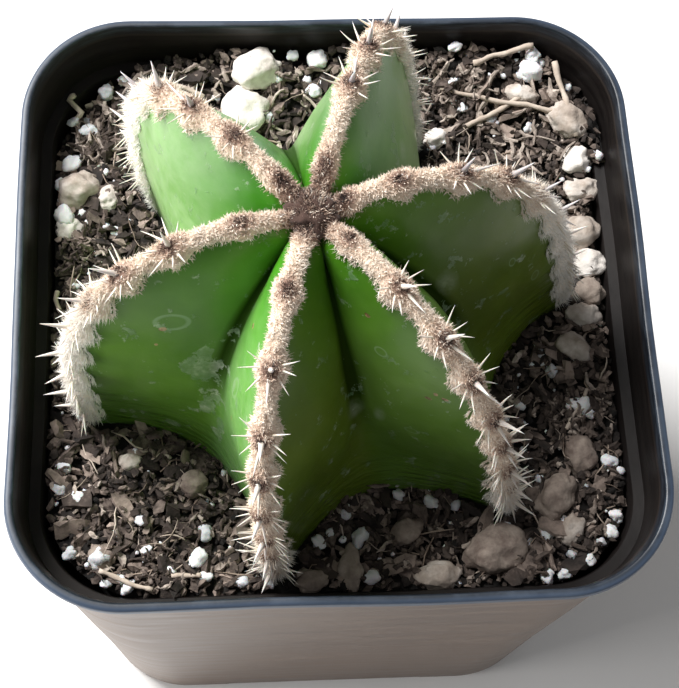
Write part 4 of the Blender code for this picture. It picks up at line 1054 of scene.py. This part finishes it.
def add_centrals(store, crest, outward, along, across, grown, grey, draw):
    """A stout spine straight out of an areole and a longer one down along the crest."""
    tilt = along * draw.uniform(-0.3, 0.35) + across * draw.uniform(-0.25, 0.25)
    length = draw.uniform(3.2, 4.4) * (0.5 + 0.5 * grown) * MM
    add_spine(store, crest + outward * 0.6 * MM, (outward + tilt).normalized(), length,
              draw.uniform(0.42, 0.52) * MM, along * draw.uniform(-0.08, 0.08), grey, 10)
    heading = (along + outward * draw.uniform(0.25, 0.5) + across * draw.uniform(-0.3, 0.3)).normalized()
    add_spine(store, crest + outward * 0.8 * MM + along * 1.0 * MM, heading,
              draw.uniform(3.2, 4.4) * (0.5 + 0.5 * grown) * MM, draw.uniform(0.24, 0.33) * MM,
              outward * 0.05, grey * 0.5, 8)


def make_spines():
    """Radial and central spines at each areole that is old enough to have them."""
    draw = random.Random(SPINE_SEED)
    store = collect("spines")
    for rib, places in enumerate(AREOLES):
        for place_mm in places:
            grown = min((place_mm - 6) / 12, 1.0)
            low = min(max((place_mm - 40) / 12, 0), 1)
            frame_here = crest_frame(rib, place_mm * MM / CREST_LENGTH)
            if grown > 0.55:
                add_radials(store, *frame_here, grown, low, draw)
            if grown > 0.78:
                grey = draw.uniform(0.7, 1.0) if rib < 3 and place_mm < 45 else draw.uniform(0.1, 0.45)
                add_centrals(store, *frame_here, grown, grey, draw)
    make_object(store, spine_material(), True)


# Soil

def soil_height(x, y):
    """Height of the mix's surface without its stones and chips."""
    coarse = noise.noise(Vector((x, y, 0)) / (9 * MM)) * 1.0 * MM
    fine = noise.noise(Vector((x, y, 5 * MM)) / (2.6 * MM)) * 0.8 * MM
    heaps = 0
    for heap_x, heap_y, rise, radius in SOIL_HEAPS:
        squared = ((x - heap_x * MM) ** 2 + (y - heap_y * MM) ** 2) / (radius * MM) ** 2
        heaps += rise * MM * math.exp(-squared)
    return SOIL_LEVEL + coarse + fine + heaps


def room(x, y, z):
    """Distance from a place to the pot's inner wall, positive inside."""
    thick = POT_WALL + (LEDGE_OUTER_STEP + LEDGE_INNER_STEP if z < LEDGE_Z + LEDGE_RISE else 0)
    half = wall_half(z / POT_HEIGHT) - thick
    radius = POT_CORNER_RADIUS - POT_WALL
    dx, dy = abs(x) - (half - radius), abs(y) - (half - radius)
    return radius - (math.hypot(max(dx, 0), max(dy, 0)) + min(max(dx, dy), 0))


def stem_reach(x, y):
    """Distance from a place on the soil to the stem's foot, negative inside it."""
    here, foot = Vector((x, y)), Vector(STEM_FOOT)
    nearest = 1.0
    for angle, reach in zip(RIB_ANGLES, RIB_REACH):
        turn = math.radians(angle)
        tip = foot + Vector((math.cos(turn), math.sin(turn))) * (RIB_FOOT_REACH * reach)
        share = min(max((here - foot).dot(tip - foot) / (tip - foot).length_squared, 0), 1)
        half = (2.2 + 13 * (1 - share) ** 1.5) * MM
        nearest = min(nearest, (here - foot.lerp(tip, share)).length - half)
    return nearest


def add_root(store, start, heading, length, radius, draw, wander, rise, sides=5, tint=None):
    """One bent, knotty shred from a start point on the surface, thinner at both ends."""
    x, y = start
    lift = draw.uniform(0.2, 1.3) * MM
    path = []
    for _ in range(ROOT_STEPS + 1):
        path.append(Vector((x, y, soil_height(x, y) + lift)))
        x += math.cos(heading) * length / ROOT_STEPS
        y += math.sin(heading) * length / ROOT_STEPS
        lift += rise * length / ROOT_STEPS + draw.gauss(0, 0.12) * MM
        heading += draw.gauss(0, wander)
        if room(x, y, SURFACE_Z) < 0.7 * MM or stem_reach(x, y) < 0.2 * MM:
            break
    if len(path) < 3:
        return
    last = len(path) - 1
    radii = [radius * (0.35 + 0.65 * math.sin(math.pi * (0.12 + 0.76 * i / last))) * draw.uniform(0.65, 1.35)
             for i in range(last + 1)]
    points, faces = tube(path, radii, sides)
    points = [point + noise.noise_vector(point / (0.55 * MM)) * radius * 0.9 for point in points]
    add_to(store, points, faces, draw.random() ** 2.2 * 0.85 if tint is None else tint)


def inside_wall(point, margin):
    """The point, moved towards the middle until it keeps the margin to the pot's inner wall."""
    short = margin - room(point.x, point.y, point.z)
    if short <= 0:
        return point
    inward = 1 - 1.3 * short / math.hypot(point.x, point.y)
    return Vector((point.x * inward, point.y * inward, point.z))


def make_shreds(material):
    """Short rough shreds of bark, some matted into clumps, with long pale ones towards the back."""
    draw = random.Random(SHRED_SEED)
    store = collect("bark_shreds")
    for _ in range(SHRED_COUNT):
        start = free_place(draw, 0.9 * MM, 0.3 * MM)
        length, tint = (0.8 + 2.4 * draw.random() ** 1.5) * MM, None
        if start[1] > 25 * MM and draw.random() < 0.35:
            length, tint = (2.5 + 4.0 * draw.random()) * MM, draw.uniform(0.5, 1.0)
        add_root(store, start, draw.uniform(0, math.tau), length, draw.uniform(0.16, 0.46) * MM, draw, 0.35,
                 draw.gauss(0, 0.12), tint=tint)
    for x, y, radius in CLUMPS:
        along = draw.uniform(0, math.tau)
        for _ in range(round(16 * radius)):
            spread = radius * math.sqrt(draw.random()) * MM
            turn = draw.uniform(0, math.tau)
            start = (x * MM + spread * math.cos(turn), y * MM + spread * math.sin(turn))
            if room(*start, SURFACE_Z) > 0.9 * MM and stem_reach(*start) > 0.3 * MM:
                add_root(store, start, along + draw.gauss(0, 0.7), draw.uniform(1.0, 2.6) * MM,
                         draw.uniform(0.14, 0.3) * MM, draw, 0.5, draw.uniform(0.0, 0.5), 4)
    make_object(store, material, False)


def grit_material(name, low, middle, high, rough, size, depth, translucent=0.0):
    """A mineral or bark surface: colour from noise and from each grain's own tint."""
    material, tree, shader = new_material(name)
    at = place(tree)
    grain = noise_at(tree, at, size, 5.0, 0.65)
    value = math_node(tree, 'ADD', times(tree, grain, 0.75), times(tree, attribute(tree, "tint"), 0.45))
    set_inputs(tree, shader, Base_Color=ramp(tree, value, (0.28, low), (0.55, middle), (0.85, high)),
               Roughness=rough, Subsurface_Weight=translucent, Subsurface_Scale=0.6 * MM,
               Normal=bump(tree, noise_at(tree, at, size * 0.4, 4.0, 0.7), depth, 0.8))
    return material


def lump(ball, size, centre, turn, tilt, seed, rough):
    """Points of a grain: a ball scaled, turned and roughened."""
    matrix = (Matrix.Translation(centre) @ Matrix.Rotation(turn, 4, 'Z') @ Matrix.Rotation(tilt, 4, 'X')
              @ Matrix.Diagonal((*size, 1.0)))
    shift = Vector((seed, seed * 0.37, 0))
    points = []
    for corner in ball:
        broad, fine = noise.noise(corner * 2.4 + shift), noise.noise(corner * 7 + shift)
        points.append(matrix @ (corner * (1 + rough * broad * 1.6 + rough * 0.5 * fine)))
    return points


def make_bed(material):
    """The mix's own surface, fine and dark, with its sides down inside the pot."""
    store = collect("mix_bed")
    cells = BED_CELLS
    points = []
    for row in range(cells):
        for column in range(cells):
            x = -BED_HALF + 2 * BED_HALF * column / (cells - 1)
            y = BED_HALF - 2 * BED_HALF * row / (cells - 1)
            inside = room(x, y, SURFACE_Z)
            if inside < BED_MARGIN:
                pull = BED_MARGIN - inside
                length = math.hypot(x, y)
                x, y = x * (1 - pull / length * 1.25), y * (1 - pull / length * 1.25)
            coarse = noise.noise(Vector((x, y, 1)) / (1.1 * MM))
            fine = noise.noise(Vector((x, y, 2)) / (0.5 * MM))
            points.append(Vector((x, y, soil_height(x, y) + (coarse + 0.6 * fine) * 0.45 * MM - 0.5 * MM)))
    add_to(store, points, grid_faces(cells, cells, False))
    last_row = (cells - 1) * cells
    edge = (list(range(cells)) + [row * cells + cells - 1 for row in range(1, cells)]
            + [last_row + i for i in range(cells - 2, -1, -1)]
            + [row * cells for row in range(cells - 2, 0, -1)])
    count = len(edge)
    lower = len(points)
    bottom = [Vector((points[i].x * BED_TAPER, points[i].y * BED_TAPER, BED_FLOOR)) for i in edge]
    add_to(store, bottom, [])
    for i in range(count):
        j = (i + 1) % count
        store["faces"].append((edge[i], edge[j], lower + j, lower + i))
    store["faces"].append(tuple(range(lower, lower + count))[::-1])
    make_object(store, material, True, ("potting_mix",))


def free_place(draw, margin, stem_margin):
    """A seeded place on the surface, clear of the wall and the stem."""
    while True:
        x, y = draw.uniform(-FREE_HALF, FREE_HALF) * MM, draw.uniform(-FREE_HALF, FREE_HALF) * MM
        if room(x, y, soil_height(x, y)) > margin and stem_reach(x, y) > stem_margin:
            return x, y


def make_stones(material):
    """The larger pumice stones at their places, paler towards the back."""
    store = collect("pumice")
    ball, faces = unit_ball(4)
    for number, (x, y, long, wide, turn) in enumerate(STONES):
        height = wide * STONE_HEIGHT_SHARE * MM
        low = soil_height(x * MM, y * MM)
        centre = Vector((x * MM, y * MM, low + height * (0.5 - STONE_SINK_SHARE) + 0.2 * MM))
        size = (long * MM, wide * MM, height)
        pitted = []
        for point in lump(ball, size, centre, math.radians(turn), 0.15, number * 7.3, 0.2):
            fine, broad = noise.noise(point / (0.8 * MM)), abs(noise.noise(point / (1.6 * MM)))
            pits = fine * 0.16 * MM - broad * 0.2 * MM
            pitted.append(point + (point - centre).normalized() * pits)
        tint = 0.5 + y / 90 + 0.35 * math.sin(number * 2.4)
        add_to(store, pitted, faces, min(max(tint, 0), 1))
    make_object(store, material, True)


def make_perlite(material):
    """White grains: the larger ones at their places, fine ones scattered between."""
    draw = random.Random(PERLITE_SEED)
    store = collect("perlite")
    coarse, fine = unit_ball(3), unit_ball(2)
    grains = [(x * MM, y * MM, size * PERLITE_SCALE * MM, coarse) for x, y, size in PERLITE]
    for _ in range(FINE_PERLITE_COUNT):
        size = 0.45 + 1.1 * draw.random() ** 2.0
        grains.append((*free_place(draw, 0.9 * MM, 0.5 * MM), size * MM, fine))
    for x, y, size, (ball, faces) in grains:
        z = soil_height(x, y) + size * draw.uniform(0.0, 0.25) + 0.4 * MM
        inside = room(x, y, z) - size * 0.6
        if inside < 0:
            x, y = x * (1 + inside / math.hypot(x, y)), y * (1 + inside / math.hypot(x, y))
        sizes = [size * draw.uniform(*span) for span in ((0.9, 1.2), (0.75, 1), (0.6, 0.9))]
        points = lump(ball, sizes, (x, y, z), draw.uniform(0, 6.3), draw.uniform(-0.5, 0.5),
                      draw.uniform(0, 90), 0.3)
        add_to(store, points, faces, draw.random())
    make_object(store, material, True)


def make_chips(material):
    """Broken flat chips of bark."""
    draw = random.Random(CHIP_SEED)
    store = collect("bark_chips")
    bar, faces = unit_bar(4)
    for _ in range(CHIP_COUNT):
        x, y = free_place(draw, 0.8 * MM, 0.2 * MM)
        long = (1.2 + 3.6 * draw.random() ** 2.2) * MM
        wide = long * draw.uniform(0.25, 0.6)
        thick = draw.uniform(0.35, 1.0) * MM
        z = soil_height(x, y) + draw.uniform(-0.4, 0.8) * MM
        matrix = (Matrix.Translation((x, y, z)) @ Matrix.Rotation(draw.uniform(0, 6.3), 4, 'Z')
                  @ Matrix.Rotation(draw.gauss(0, 0.35), 4, 'Y') @ Matrix.Rotation(draw.gauss(0, 0.6), 4, 'X')
                  @ Matrix.Diagonal((long, wide, thick, 1.0)))
        shift = Vector((draw.uniform(0, 99), draw.uniform(0, 99), 0))
        points = []
        for corner in bar:
            narrow = 1 - 0.6 * (2 * abs(corner.x)) ** 2 * draw.random()
            moved = Vector((corner.x, corner.y * narrow, corner.z * narrow))
            points.append(matrix @ (moved + noise.noise_vector(moved * 3 + shift) * 0.34))
        if min(room(point.x, point.y, point.z) for point in points) < 0:
            continue
        add_to(store, points, faces, draw.random() ** 1.8)
    make_object(store, material, False)


def make_crumbs(name, material, count, seed, largest):
    """Fine crumbs between the chips."""
    draw = random.Random(seed)
    store = collect(name)
    ball, faces = unit_ball(1)
    for _ in range(count):
        x, y = free_place(draw, 0.5 * MM, 0.0)
        size = draw.uniform(0.35, largest) * MM
        z = soil_height(x, y) + draw.uniform(-0.4, 0.6) * MM
        points = lump(ball, (size * draw.uniform(1, 1.8), size, size * 0.8), (x, y, z), draw.uniform(0, 6.3),
                      draw.uniform(-0.6, 0.6), draw.uniform(0, 90), 0.6)
        add_to(store, points, faces, draw.random())
    make_object(store, material, False)


def make_fibre_strands(material):
    """Thin coir strands, and the twigs at their places."""
    draw = random.Random(STRAND_SEED)
    store = collect("coir_strands")
    for _ in range(STRAND_COUNT):
        add_root(store, free_place(draw, 2.0 * MM, 0.8 * MM), draw.uniform(0, math.tau),
                 draw.uniform(3.0, 8.0) * MM, draw.uniform(0.06, 0.14) * MM, draw, 0.3,
                 draw.gauss(0, 0.08), 4, draw.random())
    for *ends, radius in TWIGS:
        start, end = (Vector((x * MM, y * MM, soil_height(x * MM, y * MM) + z * MM)) for x, y, z in ends)
        path = []
        for step in range(TWIG_STEPS + 1):
            point = start.lerp(end, step / TWIG_STEPS)
            bend = noise.noise_vector(Vector((point.x, point.y, 0)) / (3 * MM)) * 0.45 * MM
            path.append(inside_wall(point + bend, TWIG_MARGIN))
        points, faces = tube(path, [radius * MM * draw.uniform(0.8, 1.15) for _ in path], 8)
        points = [point + noise.noise_vector(point / (0.7 * MM)) * 0.1 * MM for point in points]
        add_to(store, points, faces, 0.85)
    make_object(store, material, True)


# Floor, light and camera

def make_floor():
    """A plain pale floor."""
    mesh = bpy.data.meshes.new("floor")
    corners = [(-3, -3, 0), (3, -3, 0), (3, 3, 0), (-3, 3, 0)]
    mesh.from_pydata(corners, [], [(0, 1, 2, 3)])
    floor = add_object("floor", mesh)
    material, tree, shader = new_material("floor_white")
    set_inputs(tree, shader, Base_Color=(0.97, 0.97, 0.97, 1), Roughness=0.8)
    mesh.materials.append(material)


def add_light(name, location, size, energy, target, colour):
    """A soft square light that faces a point."""
    data = bpy.data.lights.new(name, 'AREA')
    data.size = size
    data.energy = energy
    data.color = colour
    light = add_object(name, data)
    light.location = location
    light.rotation_euler = (Vector(target) - Vector(location)).to_track_quat('-Z', 'Y').to_euler()


def make_lights():
    """A broad key light from the upper left behind the plant, a low light on the left and an even sky."""
    scene = bpy.context.scene
    scene.view_settings.view_transform = 'Standard'
    world = bpy.data.worlds.new("studio")
    scene.world = world
    world.use_nodes = True
    background = world.node_tree.nodes["Background"]
    background.inputs["Color"].default_value = (1, 1, 1, 1)
    background.inputs["Strength"].default_value = 0.24
    add_light("key", location=(-0.42, 0.36, 0.75), size=0.36, energy=14.0, target=(0, 0, 0.09),
              colour=(1.0, 0.985, 0.965))
    add_light("left", location=(-0.5, -0.10, 0.12), size=0.2, energy=2.0, target=(-0.03, -0.04, 0.05),
              colour=(1.0, 0.97, 0.94))


def make_camera():
    """The photograph's view: from above the front, close by."""
    data = bpy.data.cameras.new("camera")
    data.sensor_width = SENSOR_WIDTH
    data.lens = FOCAL_PIXELS * SENSOR_WIDTH / PHOTO_HEIGHT
    data.clip_start = 0.01
    camera = add_object("camera", data)
    camera.location = CAMERA_PLACE
    camera.rotation_euler = CAMERA_TURN
    bpy.context.scene.camera = camera


def make_mix():
    """The potting mix: bed, crumbs, grit, chips, shreds, strands, perlite and pumice."""
    dark = grit_material("dark_mix", (0.003, 0.0025, 0.0022), (0.012, 0.009, 0.0078),
                         (0.065, 0.050, 0.042), 0.95, 0.9 * MM, 0.3 * MM)
    bark = grit_material("bark", (0.010, 0.007, 0.006), (0.058, 0.042, 0.035),
                         (0.38, 0.30, 0.255), 0.85, 1.2 * MM, 0.25 * MM)
    shred = grit_material("bark_fibre", (0.020, 0.014, 0.012), (0.13, 0.097, 0.08),
                          (0.64, 0.55, 0.48), 0.8, 0.9 * MM, 0.2 * MM)
    coir = grit_material("coir", (0.13, 0.09, 0.07), (0.36, 0.28, 0.22),
                         (0.62, 0.53, 0.45), 0.85, 1.6 * MM, 0.1 * MM)
    white = grit_material("perlite_white", (0.48, 0.49, 0.53), (0.80, 0.81, 0.84),
                          (0.94, 0.94, 0.96), 0.8, 0.8 * MM, 0.2 * MM, 0.15)
    tan = grit_material("pumice_tan", (0.15, 0.11, 0.092), (0.44, 0.37, 0.315),
                        (0.88, 0.83, 0.78), 0.85, 1.6 * MM, 0.3 * MM)
    make_bed(dark)
    make_crumbs("crumbs", dark, CRUMB_COUNT, CRUMB_SEED, 1.2)
    make_crumbs("bark_grit", bark, GRIT_COUNT, GRIT_SEED, 1.5)
    make_chips(bark)
    make_shreds(shred)
    make_fibre_strands(coir)
    make_perlite(white)
    make_stones(tan)


def main():
    """Make the camera, the stage and every piece."""
    make_camera()
    make_lights()
    make_floor()
    make_pot()
    make_stem()
    wool = wool_material()
    make_wool(wool)
    make_fibres(wool)
    make_spines()
    make_mix()


main()
bpy.context.view_layer.update()
